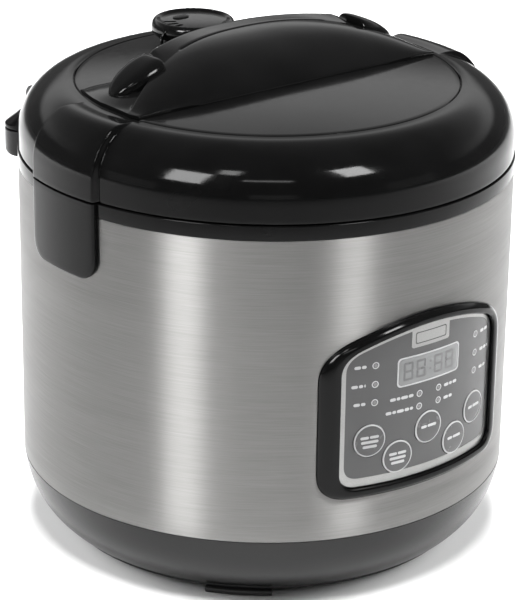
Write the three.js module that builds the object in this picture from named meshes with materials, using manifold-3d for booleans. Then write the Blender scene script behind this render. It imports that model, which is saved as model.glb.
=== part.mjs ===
// A round multicooker with a hinged lid: steel sleeve, rounded plastic base, top ring with side
// tabs, domed lid with an arched handle and a steam vent, curved control panel, and everything
// inside. Millimetres, +Z up. The cooker stands on its feet at z = 0 and its front faces -Y.
import * as THREE from 'three';
import { mergeVertices } from 'three/addons/utils/BufferGeometryUtils.js';
import Module from 'manifold-3d';

const wasm = await Module();
wasm.setup();

// ---- driving dimensions ----
const R = 135;                    // outside radius of the steel sleeve
const GAP = 0.3;                  // clearance between neighbouring pieces
const SEGMENTS = 40;              // facets around the large round pieces
const INNER_SEGMENTS = 30;        // facets around the round pieces inside
const SMALL_SEGMENTS = 18;        // facets around the small round pieces

const BASE_PLATE_Z = 3.8;         // underside of the base plate
const BASE_RIM_Z = 7;             // lower edge of the base shell
const SLEEVE_Z = 42;              // lower edge of the steel sleeve
const SLEEVE_TOP_Z = 209.5;
const SLEEVE_WALL = 0.6;
const SHELL_WALL = 2.5;           // wall of the plastic base and lid shells
const FOOT_ANGLES = { front_left: -135, front_right: -45, rear_right: 45, rear_left: 135 };
const SCREW_RING_R = 88;
const SCREW_ANGLES = [90, 210, 330];
const SEAM_Z = 217.5;             // parting plane between ring and lid
const LID_R = 134.6;
const SHOULDER_R = 27;            // rounding of the lid's shoulder
const SHOULDER_Z = 227;           // height at which the rounding starts
const LID_TOP_Z = 258;            // top of the dome, on the axis
const PANEL_R = 104;              // radius of the round panel in the lid's top
const PANEL_RINGS = [0, 60, PANEL_R];              // rings that carry that panel's dome
const RING_R = 116.5;             // inner edge of the top ring, under the pot's rim
const RING_Z = 205;               // underside of the top ring

const FRONT_REACH = 139.5;        // control panel, from the cooker's axis
const REAR_REACH = 153;           // hinge knuckles, from the cooker's axis
const AXIS_Y = (FRONT_REACH - REAR_REACH) / 2;

const TAB_ANGLE = THREE.MathUtils.degToRad(13);   // half width of the side tabs and lid pads
const TAB_R = 137.8;
const TAB_BOTTOM_Z = 174.5;

const HINGE_Y = 147;              // hinge axis, from the cooker's axis
const HINGE_Z = SEAM_Z - 0.1;
const HINGE_ANGLE = THREE.MathUtils.degToRad(46);  // half width of the hinge housing
const KNUCKLE_R = 6;
const PIN_R = 2.5;
const LID_KNUCKLES = [[-34, -14], [14, 34]];
const BODY_KNUCKLES = [[-55, -34.6], [34.6, 55]];

const INLET_Z = 64;               // middle of the power inlet
const INLET = { wide: 14, high: 10, depth: 122.5, back: 119.5 };
const COLLECTOR = { half: 27, rear: 151, bottom: 152, top: 198 };
const CLIP = { half: 8, bottom: 184, top: 201, depth: 4 };

const POT_R = 114.5;
const POT_Z = 74;
const POT_RIM_Z = 210.3;
const WALL = 1.6;                 // wall of the pot
const POT_CORNER = 22;            // rounding between the pot's wall and its floor
const LINER_R = 118;
const LINER_Z = 57;               // underside of the liner

const HANDLE_END = 98;
const BAND_WIDTH = 13.5;          // the flat band along the handle's top
const BAND_END = 64.6;
const BAND_TILT = 3.6;            // how much higher the band's rear edge stands at its ends
const BODY_TILT = 0.8;            // share of that tilt in the body under the band
const POCKET = { half: 46, rise: 6 };              // finger pocket under the band
const HANDLE_PAD = { x: 72, y: 8, z: 252.6, long: 31, wide: 33, tall: 8.4 };
const LATCH_Y = 11;               // the lid's latches, behind the cooker's axis
const LATCH_HALF = 4;             // half width of a latch slider
const LATCH_SLOT = [121.5, 131.5];
const RELEASE_TRAVEL = 3;
const RELEASE = { x: 68, y: LATCH_Y, z: 258.2, long: 28, wide: 11.5, tall: 16.8 };

const VENT_Y = 66;                // steam vent, behind the cooker's axis
const CAP_R = 23.5;

const BUTTON_R = 9.2;
const BUTTON_FACE_R = 137.4;      // distance of the button faces from the cooker's axis
const BUTTON_ANGLES = [-15.4, -8.3, 0, 8.3, 15.4];
const BUTTON_HEIGHTS = [97, 84.8, 97, 84.8, 97];
const WINDOW = { halfWidth: 21, bottom: 124, top: 139.5 };

// ---- solids, booleans and materials ----
const material = (color, roughness, metalness = 0) =>
  new THREE.MeshStandardMaterial({ color, roughness, metalness });

const STEEL = [0xb9b8b5, 0.32, 1];
const ALUMINIUM = [0xc4c5c7, 0.4, 1];
const GLOSS_BLACK = [0x141415, 0.15];
const SATIN_BLACK = [0x232324, 0.4];
const RUBBER = [0x1c1c1c, 0.9];
const SILICONE = [0xd8d8d2, 0.6];
const BOARD_GREEN = [0x1f5a36, 0.5];
const WIRE = [0x9a9a9a, 0.3, 1];

function welded(geometry) {
  const g = geometry.clone();
  g.deleteAttribute('normal');
  g.deleteAttribute('uv');
  return mergeVertices(g, 1e-4);
}

function signedVolume(g) {
  const p = g.attributes.position;
  const index = g.index;
  const [a, b, c] = [new THREE.Vector3(), new THREE.Vector3(), new THREE.Vector3()];
  let sum = 0;
  for (let i = 0; i < index.count; i += 3) {
    a.fromBufferAttribute(p, index.getX(i));
    b.fromBufferAttribute(p, index.getX(i + 1));
    c.fromBufferAttribute(p, index.getX(i + 2));
    sum += a.dot(b.cross(c));
  }
  return sum;
}

// A geometry as a solid whose faces point out.
function solid(geometry) {
  const g = welded(geometry);
  const triangles = Uint32Array.from(g.index.array);
  if (signedVolume(g) < 0) {
    for (let i = 0; i < triangles.length; i += 3) {
      [triangles[i + 1], triangles[i + 2]] = [triangles[i + 2], triangles[i + 1]];
    }
  }
  return new wasm.Manifold(new wasm.Mesh({
    numProp: 3, vertProperties: Float32Array.from(g.attributes.position.array), triVerts: triangles,
  }));
}

function geometryOf(manifold) {
  const mesh = manifold.getMesh();
  const g = new THREE.BufferGeometry();
  g.setAttribute('position', new THREE.BufferAttribute(mesh.vertProperties, 3));
  g.setIndex(new THREE.BufferAttribute(mesh.triVerts, 1));
  g.computeVertexNormals();
  return g;
}

const cut = (body, ...tools) => tools.reduce((m, tool) => m.subtract(tool), body);
const join = (body, ...others) => others.reduce((m, other) => m.add(other), body);

// A closed profile of [radius, z] points turned about the Z axis.
function turned(points, segments = SEGMENTS) {
  const profile = points.map(([r, z]) => new THREE.Vector2(r, z));
  const closesOnAxis = points[0][0] === 0 && points.at(-1)[0] === 0;
  if (!closesOnAxis) profile.push(profile[0].clone());
  return solid(new THREE.LatheGeometry(profile, segments).rotateX(Math.PI / 2));
}

function block(x0, x1, y0, y1, z0, z1) {
  return solid(new THREE.BoxGeometry(x1 - x0, y1 - y0, z1 - z0)
    .translate((x0 + x1) / 2, (y0 + y1) / 2, (z0 + z1) / 2));
}

function upright(radius, z0, z1, x = 0, y = 0, segments = SMALL_SEGMENTS) {
  return solid(new THREE.CylinderGeometry(radius, radius, z1 - z0, segments)
    .rotateX(Math.PI / 2).translate(x, y, (z0 + z1) / 2));
}

function crosswise(radius, x0, x1, y, z, segments = SMALL_SEGMENTS) {
  return solid(new THREE.CylinderGeometry(radius, radius, x1 - x0, segments)
    .rotateZ(Math.PI / 2).translate((x0 + x1) / 2, y, z));
}

// A flat outline in X and Z, extruded along Y from y0 to y1.
function extrudedFront(shape, y0, y1) {
  return solid(new THREE.ExtrudeGeometry(shape, { depth: y1 - y0, bevelEnabled: false, curveSegments: 4 })
    .rotateX(Math.PI / 2).translate(0, y1, 0));
}

// A flat outline in X and Y, extruded upwards from z0 to z1.
function extrudedUp(shape, z0, z1) {
  return solid(new THREE.ExtrudeGeometry(shape, { depth: z1 - z0, bevelEnabled: false, curveSegments: 8 })
    .translate(0, 0, z0));
}

// A wedge about the Z axis, centred on the direction `centre` (0 is +X), `half` wide each way.
function wedge(centre, half, radius, z0, z1) {
  const shape = new THREE.Shape();
  shape.moveTo(0, 0);
  [-1, -0.5, 0, 0.5, 1].forEach((share) => {
    const angle = centre + half * share;
    shape.lineTo(radius * Math.cos(angle), radius * Math.sin(angle));
  });
  shape.closePath();
  return extrudedUp(shape, z0, z1);
}

// A helical wire of the given number of turns about the Z axis.
class Helix extends THREE.Curve {
  constructor(radius, length, turns) {
    super();
    Object.assign(this, { radius, length, turns });
  }

  getPoint(t, target = new THREE.Vector3()) {
    const angle = 2 * Math.PI * this.turns * t;
    return target.set(this.radius * Math.cos(angle), this.radius * Math.sin(angle), this.length * t);
  }
}

function coil(radius, length, turns, wireRadius) {
  const section = new THREE.Shape().absarc(0, 0, wireRadius, 0, 2 * Math.PI, false);
  return new THREE.ExtrudeGeometry(section, {
    extrudePath: new Helix(radius, length, turns), steps: turns * 8, curveSegments: 2, bevelEnabled: false,
  });
}

const root = new THREE.Group();
root.position.y = AXIS_Y;

function place(name, body, look, parent = root) {
  const geometry = body instanceof THREE.BufferGeometry ? geometryOf(solid(body)) : geometryOf(body);
  const mesh = new THREE.Mesh(geometry, material(...look));
  mesh.name = name;
  parent.add(mesh);
  return mesh;
}

// ---- base ----
function baseWall(inset) {
  const curve = new THREE.QuadraticBezierCurve(
    new THREE.Vector2(R - inset, SLEEVE_Z - GAP),
    new THREE.Vector2(R - 2.5 - inset, 19),
    new THREE.Vector2(117 - inset, BASE_RIM_Z));
  return curve.getPoints(3).map((p) => [p.x, p.y]);
}

function makeBase() {
  const shell = turned([...baseWall(0), ...baseWall(SHELL_WALL).reverse()]);
  place('base_shell', shell, SATIN_BLACK);

  const plateTop = BASE_RIM_Z - GAP;
  const plate = turned([[0, BASE_PLATE_Z], [114.2, BASE_PLATE_Z], [114.2, plateTop], [0, plateTop]]);
  const slots = [-2, -1, 0, 1, 2].map((i) => block(-30, 30, i * 12 - 2.5, i * 12 + 2.5, 0, 10));
  const screwHoles = SCREW_ANGLES.map((a) => {
    const [x, y] = onCircle(SCREW_RING_R, a);
    return upright(2.3, 0, 10, x, y, 12);
  });
  place('base_plate', cut(plate, ...slots, ...screwHoles), SATIN_BLACK);

  SCREW_ANGLES.forEach((a, i) => {
    const [x, y] = onCircle(SCREW_RING_R, a);
    const shank = upright(2, 2.6, 16, x, y, 12);
    const head = upright(4, 1.6, BASE_PLATE_Z - GAP, x, y, 12);
    place(`base_screw_${i + 1}`, join(head, shank), WIRE);
  });
  Object.entries(FOOT_ANGLES).forEach(([corner, angle]) => {
    const foot = turned([[97, 0], [115, 0], [117, BASE_PLATE_Z - GAP], [97, BASE_PLATE_Z - GAP]]);
    const half = THREE.MathUtils.degToRad(9);
    const sector = wedge(THREE.MathUtils.degToRad(angle), half, 130, -1, 5);
    place(`foot_${corner}`, foot.intersect(sector), RUBBER);
  });
}

function onCircle(radius, degrees) {
  const a = THREE.MathUtils.degToRad(degrees);
  return [radius * Math.cos(a), radius * Math.sin(a)];
}

// ---- control panel ----
// The panel's outline, drawn inwards from the bezel's edge: flat bottom, arched top.
function panelShape(side, top = side, bottom = side) {
  const w = 62 - side;
  const z0 = 65 + bottom;
  const crown = 164.3 - top;
  const corner = Math.max(3, 15 - side * 0.6);
  const reach = w - corner * 1.2;
  const drop = reach * reach / 226;
  const hip = crown - drop - corner * 1.2 * (2 * drop / reach);
  const s = new THREE.Shape();
  s.moveTo(-w + corner, z0);
  s.lineTo(w - corner, z0);
  s.quadraticCurveTo(w, z0, w, z0 + corner);
  s.lineTo(w, hip - corner);
  s.quadraticCurveTo(w, hip, reach, crown - drop);
  s.quadraticCurveTo(0, crown + drop, -reach, crown - drop);
  s.quadraticCurveTo(-w, hip, -w, hip - corner);
  s.lineTo(-w, z0 + corner);
  s.quadraticCurveTo(-w, z0, -w + corner, z0);
  return s;
}

function curvedSheet(inner, outer, shape) {
  const tube = turned([[inner, 40], [outer, 40], [outer, 190], [inner, 190]]);
  return tube.intersect(extrudedFront(shape, -150, -60));
}

function roundedWindow(w, z0, z1, r) {
  const s = new THREE.Shape();
  s.moveTo(-w + r, z0);
  s.lineTo(w - r, z0);
  s.quadraticCurveTo(w, z0, w, z0 + r);
  s.lineTo(w, z1 - r);
  s.quadraticCurveTo(w, z1, w - r, z1);
  s.lineTo(-w + r, z1);
  s.quadraticCurveTo(-w, z1, -w, z1 - r);
  s.lineTo(-w, z0 + r);
  s.quadraticCurveTo(-w, z0, -w + r, z0);
  return s;
}

// A round bar pointing out from the cooker's axis at the place of one panel button.
function buttonBar(i, radius, from, to) {
  const angle = THREE.MathUtils.degToRad(BUTTON_ANGLES[i]);
  return solid(new THREE.CylinderGeometry(radius, radius, to - from, SMALL_SEGMENTS)
    .translate(0, -(from + to) / 2, 0)
    .rotateZ(angle)
    .translate(0, 0, BUTTON_HEIGHTS[i]));
}

function makePanel() {
  const bezel = curvedSheet(R + GAP, FRONT_REACH, panelShape(0));
  const opening = extrudedFront(panelShape(9, 7.5, 6), -150, -60);
  place('panel_bezel', cut(bezel, opening), GLOSS_BLACK);

  const sheet = curvedSheet(R + 0.6, R + 2, panelShape(9.4, 7.9, 6.4));
  const holes = BUTTON_ANGLES.map((a, i) => buttonBar(i, BUTTON_R + GAP, 125, 145));
  const { halfWidth, bottom, top } = WINDOW;
  const windowCut = extrudedFront(roundedWindow(halfWidth, bottom, top, 2), -150, -60);
  place('panel_overlay', cut(sheet, windowCut, ...holes), [0x4a4b4d, 0.35]);

  const lensShape = roundedWindow(halfWidth - GAP, bottom + GAP, top - GAP, 1.8);
  place('display_lens', curvedSheet(R + 0.6, R + 2, lensShape), [0x70757a, 0.1]);
  BUTTON_ANGLES.forEach((a, i) => {
    const cap = buttonBar(i, BUTTON_R, BUTTON_FACE_R - 3, BUTTON_FACE_R);
    const stem = buttonBar(i, 2, 127.5, BUTTON_FACE_R - 2);
    place(`panel_button_${i + 1}`, join(cap, stem), [0x4a4b4d, 0.35]);
  });
  place('control_board', block(-45, 45, -121, -119.4, 78, 150), BOARD_GREEN);
  place('display_module', block(-23, 23, -131, -121 - GAP, 122, 141.5), [0x2b2f33, 0.3]);
}

// ---- body ----
function makeSleeve() {
  const top = SLEEVE_TOP_Z - GAP;
  const inner = R - SLEEVE_WALL;
  const sleeve = turned([[inner, SLEEVE_Z], [R, SLEEVE_Z], [R, top], [inner, top]]);
  const panelWindow = extrudedFront(panelShape(7, 6, 5), -150, -60);
  const inletWindow = block(-14.5, 14.5, 100, 150, INLET_Z - 10.5, INLET_Z + 10.5);
  place('outer_sleeve', cut(sleeve, panelWindow, inletWindow), STEEL);
}

// The outline of a side tab in Y and Z, with round lower corners.
function tabShape(halfWidth, z0, z1, corner) {
  const s = new THREE.Shape();
  s.moveTo(-halfWidth + corner, z0);
  s.lineTo(halfWidth - corner, z0);
  s.quadraticCurveTo(halfWidth, z0, halfWidth, z0 + corner);
  s.lineTo(halfWidth, z1);
  s.lineTo(-halfWidth, z1);
  s.lineTo(-halfWidth, z0 + corner);
  s.quadraticCurveTo(-halfWidth, z0, -halfWidth + corner, z0);
  return s;
}

function makeRing() {
  const top = SEAM_Z - GAP;
  const ring = turned([[RING_R, RING_Z], [R - 0.9, RING_Z], [R - 0.9, SLEEVE_TOP_Z], [R + GAP, SLEEVE_TOP_Z],
    [R + GAP, top], [RING_R + 7, top], [RING_R + 7, RING_Z + 5], [RING_R, RING_Z + 5]]);
  const tabSkin = turned([[R + 0.5, TAB_BOTTOM_Z - 5], [TAB_R, TAB_BOTTOM_Z - 5], [TAB_R, top], [R - 2, top],
    [R - 2, SLEEVE_TOP_Z + 0.7], [R + 0.5, SLEEVE_TOP_Z + 0.7]]);
  const width = TAB_R * Math.sin(TAB_ANGLE);
  const outline = solid(new THREE.ExtrudeGeometry(tabShape(width, TAB_BOTTOM_Z, top + 1, 11),
    { depth: 300, bevelEnabled: false, curveSegments: 6 })
    .rotateX(Math.PI / 2).rotateZ(Math.PI / 2).translate(-150, 0, 0));
  const tabs = tabSkin.intersect(outline);
  const slots = [-1, 1].map((side) => {
    const x = LATCH_SLOT.map((reach) => side * reach).sort((a, b) => a - b);
    return block(x[0], x[1], LATCH_Y - LATCH_HALF - 2, LATCH_Y + LATCH_HALF + 2, 200, 220);
  });
  place('top_ring', cut(join(ring, tabs), ...slots), GLOSS_BLACK);
}

function makeInside() {
  const linerTop = RING_Z - GAP;
  const liner = turned([[80, LINER_Z], [LINER_R, LINER_Z], [LINER_R, linerTop], [LINER_R - 1, linerTop],
    [LINER_R - 1, LINER_Z + 1], [80, LINER_Z + 1]], INNER_SEGMENTS);
  place('inner_liner', liner, ALUMINIUM);
  const support = [[100, BASE_RIM_Z], [102, BASE_RIM_Z], [102, LINER_Z - GAP], [100, LINER_Z - GAP]];
  place('liner_support', turned(support, 24), ALUMINIUM);

  const plateZ = LINER_Z + 1 + GAP;
  const plate = turned([[19, plateZ], [92, plateZ], [92, 68], [86, 72], [19, 72]], INNER_SEGMENTS);
  place('heating_plate', plate, ALUMINIUM);
  const element = new THREE.TorusGeometry(60, 3.8, 6, 30).translate(0, 0, 53.5);
  place('heating_element', element, [0x6d6a66, 0.5, 1]);

  const cup = turned([[0, 36], [18, 36], [18, 57], [16.5, 57], [16.5, 37.5], [0, 37.5]], SMALL_SEGMENTS);
  place('thermostat_cup', cup, ALUMINIUM);
  const head = POT_Z - 0.6;
  const plunger = turned([[0, 60], [10, 60], [10, 62], [16, 62], [16, head], [0, head]], SMALL_SEGMENTS);
  place('thermostat_plunger', plunger, ALUMINIUM);
  const spring = coil(8, 20, 5, 0.8).translate(0, 0, 38.7);
  place('thermostat_spring', spring, WIRE);

  place('power_board', block(-45, 25, -70, -20, 22, 23.6), BOARD_GREEN);
  place('relay', block(-30, -12, -60, -44, 23.6 + GAP, 39), [0x22304a, 0.5]);
}

function makePot() {
  const corner = POT_CORNER;
  const arc = (radius, steps) => Array.from({ length: steps + 1 }, (_, i) => {
    const a = (Math.PI / 2) * (i / steps);
    return [POT_R - corner + radius * Math.sin(a), POT_Z + corner - radius * Math.cos(a)];
  });
  const outer = [[0, POT_Z], ...arc(corner, 3), [POT_R, POT_RIM_Z], [122.6, POT_RIM_Z]];
  const inner = [[122.6, POT_RIM_Z + WALL], [POT_R - WALL, POT_RIM_Z + WALL],
    ...arc(corner - WALL, 3).reverse(), [0, POT_Z + WALL]];
  place('inner_pot', turned([...outer, ...inner], INNER_SEGMENTS), [0x3a3a3c, 0.5, 0.6]);
}

function makeInlet() {
  const flange = block(-18, 18, R + 0.4, R + 3, INLET_Z - 14, INLET_Z + 14);
  const { wide, high, depth, back } = INLET;
  const body = block(-wide, wide, back, R + 1, INLET_Z - high, INLET_Z + high);
  const cavity = block(2 - wide, wide - 2, depth, R + 4, INLET_Z + 2 - high, INLET_Z + high - 2);
  const pins = [['line', -7, 2], ['neutral', 7, 2], ['earth', 0, -2.5]];
  const pinBlock = (x, z, grow) => block(x - 1 - grow, x + 1 + grow, 118.6 - grow * 10, 133,
    INLET_Z + z - 2 - grow, INLET_Z + z + 2 + grow);
  const holes = pins.map(([, x, z]) => pinBlock(x, z, GAP));
  place('power_inlet', cut(join(flange, body), cavity, ...holes), SATIN_BLACK);
  pins.forEach(([name, x, z]) => place(`inlet_pin_${name}`, pinBlock(x, z, 0), [0xb89a55, 0.3, 1]));
}

// ---- hinge ----
function makeHingeBracket() {
  const arc = turned([[R + 0.6, 203], [HINGE_Y - 1, 203], [HINGE_Y, 205], [HINGE_Y, SEAM_Z - GAP],
    [R + 0.6, SEAM_Z - GAP]]);
  let bracket = arc.intersect(wedge(Math.PI / 2, HINGE_ANGLE, 170, 150, 240));
  const channel = crosswise(KNUCKLE_R + 0.6, -55.6, 55.6, HINGE_Y, HINGE_Z);
  bracket = cut(bracket, channel);
  const knuckles = BODY_KNUCKLES.map(([x0, x1]) => join(
    crosswise(KNUCKLE_R, x0, x1, HINGE_Y, HINGE_Z),
    block(x0, x1, HINGE_Y - 8, HINGE_Y + 1, HINGE_Z - 13, HINGE_Z - 2)));
  const bore = crosswise(PIN_R + GAP, -60, 60, HINGE_Y, HINGE_Z, 16);
  place('hinge_bracket', cut(join(bracket, ...knuckles), bore), SATIN_BLACK);
  place('hinge_pin', crosswise(PIN_R, -54.5, 54.5, HINGE_Y, HINGE_Z, 16), WIRE);
  const spring = coil(4.3, 24, 6, 0.8).rotateY(Math.PI / 2).translate(-12, HINGE_Y, HINGE_Z);
  place('hinge_spring', spring, WIRE);
}

function makeHingeCover() {
  const arc = turned([[LID_R + 0.4, SEAM_Z + 0.5], [HINGE_Y, SEAM_Z + 0.5], [HINGE_Y, 220], [138.5, 226.5],
    [LID_R + 0.4, 226.5]]);
  const sector = arc.intersect(wedge(Math.PI / 2, HINGE_ANGLE, 170, 200, 240));
  const channel = crosswise(KNUCKLE_R + 0.6, -55.6, 55.6, HINGE_Y, HINGE_Z);
  const knuckles = LID_KNUCKLES.map(([x0, x1]) => join(
    crosswise(KNUCKLE_R, x0, x1, HINGE_Y, HINGE_Z),
    block(x0, x1, HINGE_Y - 9, HINGE_Y, HINGE_Z + 2, HINGE_Z + 5.5)));
  const bore = crosswise(PIN_R + GAP, -60, 60, HINGE_Y, HINGE_Z, 16);
  place('lid_hinge_cover', cut(join(cut(sector, channel), ...knuckles), bore), GLOSS_BLACK);
}

// ---- condensate collector behind the cooker ----
function makeCollector() {
  const { half, rear, bottom, top } = COLLECTOR;
  const drip = block(5 - half, half - 5, 125, rear - 2, bottom - 4, bottom + 2);
  const cup = join(block(-half, half, 125, rear, bottom, top), drip);
  const hollow = block(2 - half, half - 2, R + 2.4, rear - 2, bottom + 2, top + 2);
  const wallCut = upright(R + 0.4, 140, 210, 0, 0, SEGMENTS);
  const notch = block(-CLIP.half - GAP, CLIP.half + GAP, 120, R + CLIP.depth + 1, CLIP.bottom, CLIP.top + 1);
  place('condensate_collector', cut(cup, hollow, wallCut, notch), [0x35363a, 0.2]);
  const clip = block(-CLIP.half, CLIP.half, R + 0.4, R + CLIP.depth, CLIP.bottom + GAP, CLIP.top);
  place('collector_clip', clip, SATIN_BLACK);
}

// ---- lid ----
const domeZ = (r) => LID_TOP_Z - (LID_TOP_Z - 254) * (r / 107.6) ** 2;

function shoulder(radius, rise, steps = 4) {
  const centre = LID_R - SHOULDER_R;
  return Array.from({ length: steps + 1 }, (_, i) => {
    const a = (Math.PI / 2) * (i / steps);
    return [centre + radius * Math.cos(a), SHOULDER_Z + rise * Math.sin(a)];
  });
}

function makeLidShell() {
  const bottom = SEAM_Z + 0.4;
  const wall = SHELL_WALL;
  const outer = [[LID_R, bottom], ...shoulder(SHOULDER_R, SHOULDER_R), [PANEL_R + 0.4, domeZ(PANEL_R)]];
  const inner = [[PANEL_R + 0.4, domeZ(PANEL_R) - wall - 2], [101, domeZ(PANEL_R) - wall - 2],
    [101, domeZ(PANEL_R) - wall - 4], [106, domeZ(PANEL_R) - wall - 4],
    ...shoulder(SHOULDER_R - wall, SHOULDER_R - wall - 2, 3).reverse(), [LID_R - wall, bottom]];
  const shell = turned([...outer, ...inner]);
  const padRise = TAB_R - LID_R;
  const padSkin = turned([[TAB_R, bottom], ...shoulder(SHOULDER_R + padRise, SHOULDER_R + 0.4),
    [LID_R - SHOULDER_R, SHOULDER_Z + SHOULDER_R - 1],
    ...shoulder(SHOULDER_R - 1, SHOULDER_R - 1).reverse(), [LID_R - 1, bottom]]);
  const pads = [0, Math.PI].map((a) => padSkin.intersect(wedge(a, TAB_ANGLE, 170, 200, 270)));
  place('lid_shell', join(shell, ...pads), GLOSS_BLACK);
}


function makeTopPanel() {
  const top = PANEL_RINGS.map((r) => [r, domeZ(r)]);
  const bottom = PANEL_RINGS.map((r) => [r, domeZ(r) - SHELL_WALL]).reverse();
  const panel = turned([...top, ...bottom]);
  const ventHole = upright(15, 240, 270, 0, VENT_Y);
  const slots = [-1, 1].map((side) => {
    const x = [side * 82, side * 70].sort((a, b) => a - b);
    return block(x[0], x[1], LATCH_Y - LATCH_HALF - 0.6, LATCH_Y + LATCH_HALF + 0.6, 240, 270);
  });
  place('lid_top_panel', cut(panel, ventHole, ...slots), GLOSS_BLACK);
}

// The arched handle: heights and edges as functions of x.
const crestZ = (x) => 278 - 26.7 * (Math.abs(x) / 108) ** 2.8;
const crestY = (x) => 20.25 - 0.00326 * x * x;
const frontY = (x) => -28.5 + 0.0007 * x * x;
const bandTilt = (x) => (Math.abs(x) < 75 ? BAND_TILT * Math.min(Math.abs(x) / BAND_END, 1) ** 3 : 0);

// A box grid whose x runs over the given range, whose y runs from 0 to 1 and z from 0 to 1,
// moved to the positions that `shape` gives for each (x, v, w).
function formed(x0, x1, nx, ny, shape) {
  const g = new THREE.BoxGeometry(x1 - x0, 1, 1, nx, ny, 1).translate((x0 + x1) / 2, 0.5, 0.5);
  const p = g.attributes.position;
  for (let i = 0; i < p.count; i += 1) {
    p.setXYZ(i, ...shape(p.getX(i), p.getY(i), p.getZ(i)));
  }
  return solid(g);
}

// The handle's body between its front edge and the rear of its band, `inset` under the surface.
function handleForm(inset, rear, end = HANDLE_END) {
  const front = rear > 0 ? 2 / 3 : 1;               // share of the width that the front face takes
  const [nx, ny] = inset > 0 ? [8, 4] : [16, 6];
  return formed(-end, end, nx, ny, (x, v, w) => {
    const y0 = frontY(x) + inset * 1.6;
    const y1 = crestY(x) + Math.min(rear, 0);
    const y = v <= front ? y0 + (y1 - y0) * (v / front) : y1 + rear * ((v - front) / (1 - front));
    const floor = domeZ(Math.min(Math.hypot(x, y), PANEL_R)) + GAP;
    const rise = Math.max(crestZ(x) - 2.3 - inset - floor, 0.6);
    const t = Math.min(v / front, 1);
    const lift = BODY_TILT * bandTilt(x) * Math.max(v - front, 0) / (1 - Math.min(front, 0.99));
    const top = floor + 0.4 + (rise - 0.4) * (1 - (1 - t) ** 2) ** 0.7 + lift;
    return [x, y, w > 0.5 ? top : floor - inset];
  });
}

// The flared pads around the release buttons: flat ellipsoids that stand on the lid's round panel.
function handlePad(side) {
  const { x, y, z, long, wide, tall } = HANDLE_PAD;
  const pad = solid(new THREE.SphereGeometry(1, 16, 8).rotateX(Math.PI / 2)
    .scale(long, wide, tall)
    .translate(side * x, y, z));
  const above = PANEL_RINGS.map((r) => [r, domeZ(r) + GAP]);
  return pad.intersect(turned([...above, [PANEL_R, 290], [0, 290]]));
}

function makeHandle() {
  let handle = join(handleForm(0, BAND_WIDTH), handlePad(-1), handlePad(1));
  const hollow = handleForm(3, -4, 60);
  const { half, rise } = POCKET;
  const pocket = formed(-half, half, 8, 1, (x, v, w) => [x, crestY(x) + (v < 0.5 ? -1 : 20),
    w > 0.5 ? crestZ(x) - rise : 250]);
  const { x, y, wide } = RELEASE;
  const wells = [-1, 1].map((side) => {
    const xs = [side * (x - RELEASE_TRAVEL - 1), side * (PANEL_R + 2)].sort((a, b) => a - b);
    return block(...xs, y - wide - 0.8, y + wide + 0.8, 240, 290);
  });
  handle = cut(handle, hollow, pocket, ...wells);
  place('lid_handle', handle, GLOSS_BLACK);

  const strip = formed(-BAND_END, BAND_END, 14, 1, (x, v, w) => [x, crestY(x) + 0.6 + (BAND_WIDTH - 0.6) * v,
    crestZ(x) + bandTilt(x) * v - (w > 0.5 ? 0 : 2)]);
  place('handle_strip', strip, SATIN_BLACK);
}

// One release button: the upper half of an ellipsoid at the end of the handle's band.
function releaseForm(side) {
  const { x, y, z, long, wide, tall } = RELEASE;
  const ball = solid(new THREE.SphereGeometry(1, 14, 8).rotateX(Math.PI / 2)
    .scale(long, wide, tall)
    .translate(side * x, y, z));
  const xs = [side * x, side * 130].sort((a, b) => a - b);
  return ball.intersect(block(...xs, -40, 60, z, 300));
}

function makeLatches() {
  [['left', -1], ['right', 1]].forEach(([name, side]) => {
    place(`release_button_${name}`, releaseForm(side), GLOSS_BLACK);
    const span = (a, b) => [side * a, side * b].sort((p, q) => p - q);
    const [y0, y1] = [LATCH_Y - LATCH_HALF, LATCH_Y + LATCH_HALF];
    const post = block(...span(75, 81), y0, y1, 228, RELEASE.z - GAP);
    const bar = block(...span(75, 129), y0, y1, 226, 230);
    const tongue = block(...span(126, 129), y0, y1, SLEEVE_TOP_Z + 0.7, 229);
    place(`latch_slider_${name}`, join(post, bar, tongue), [0x8a8a86, 0.5]);
    const spring = coil(3, 12, 5, 0.6).rotateY(side * Math.PI / 2).translate(side * 62.2, LATCH_Y, 228.5);
    place(`latch_spring_${name}`, spring, WIRE);
  });
}

function makeLidInside() {
  const vent = upright(13, 190, 270, 0, VENT_Y);
  const profile = [[0, 221], [119, 221], [119, 215.5], [121, 215.5], [121, 223], [0, 223]];
  const shell = turned(profile, INNER_SEGMENTS);
  place('lid_inner_shell', cut(shell, vent), SATIN_BLACK);
  const gasket = turned([[112, 212.3], [121, 212.3], [121, 215.1], [116, 215.1], [112, 214]], INNER_SEGMENTS);
  place('lid_gasket', gasket, SILICONE);
  const steamHoles = [-1, 0, 1].map((i) => upright(2.5, 200, 230, i * 14, -20, 12));
  const plate = turned([[0, 217], [104, 217], [108, 213], [110.8, 213], [110.8, 211.8], [107.5, 211.8],
    [103.5, 215.8], [0, 215.8]], INNER_SEGMENTS);
  place('inner_lid_plate', cut(plate, vent, ...steamHoles), ALUMINIUM);
}

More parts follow.
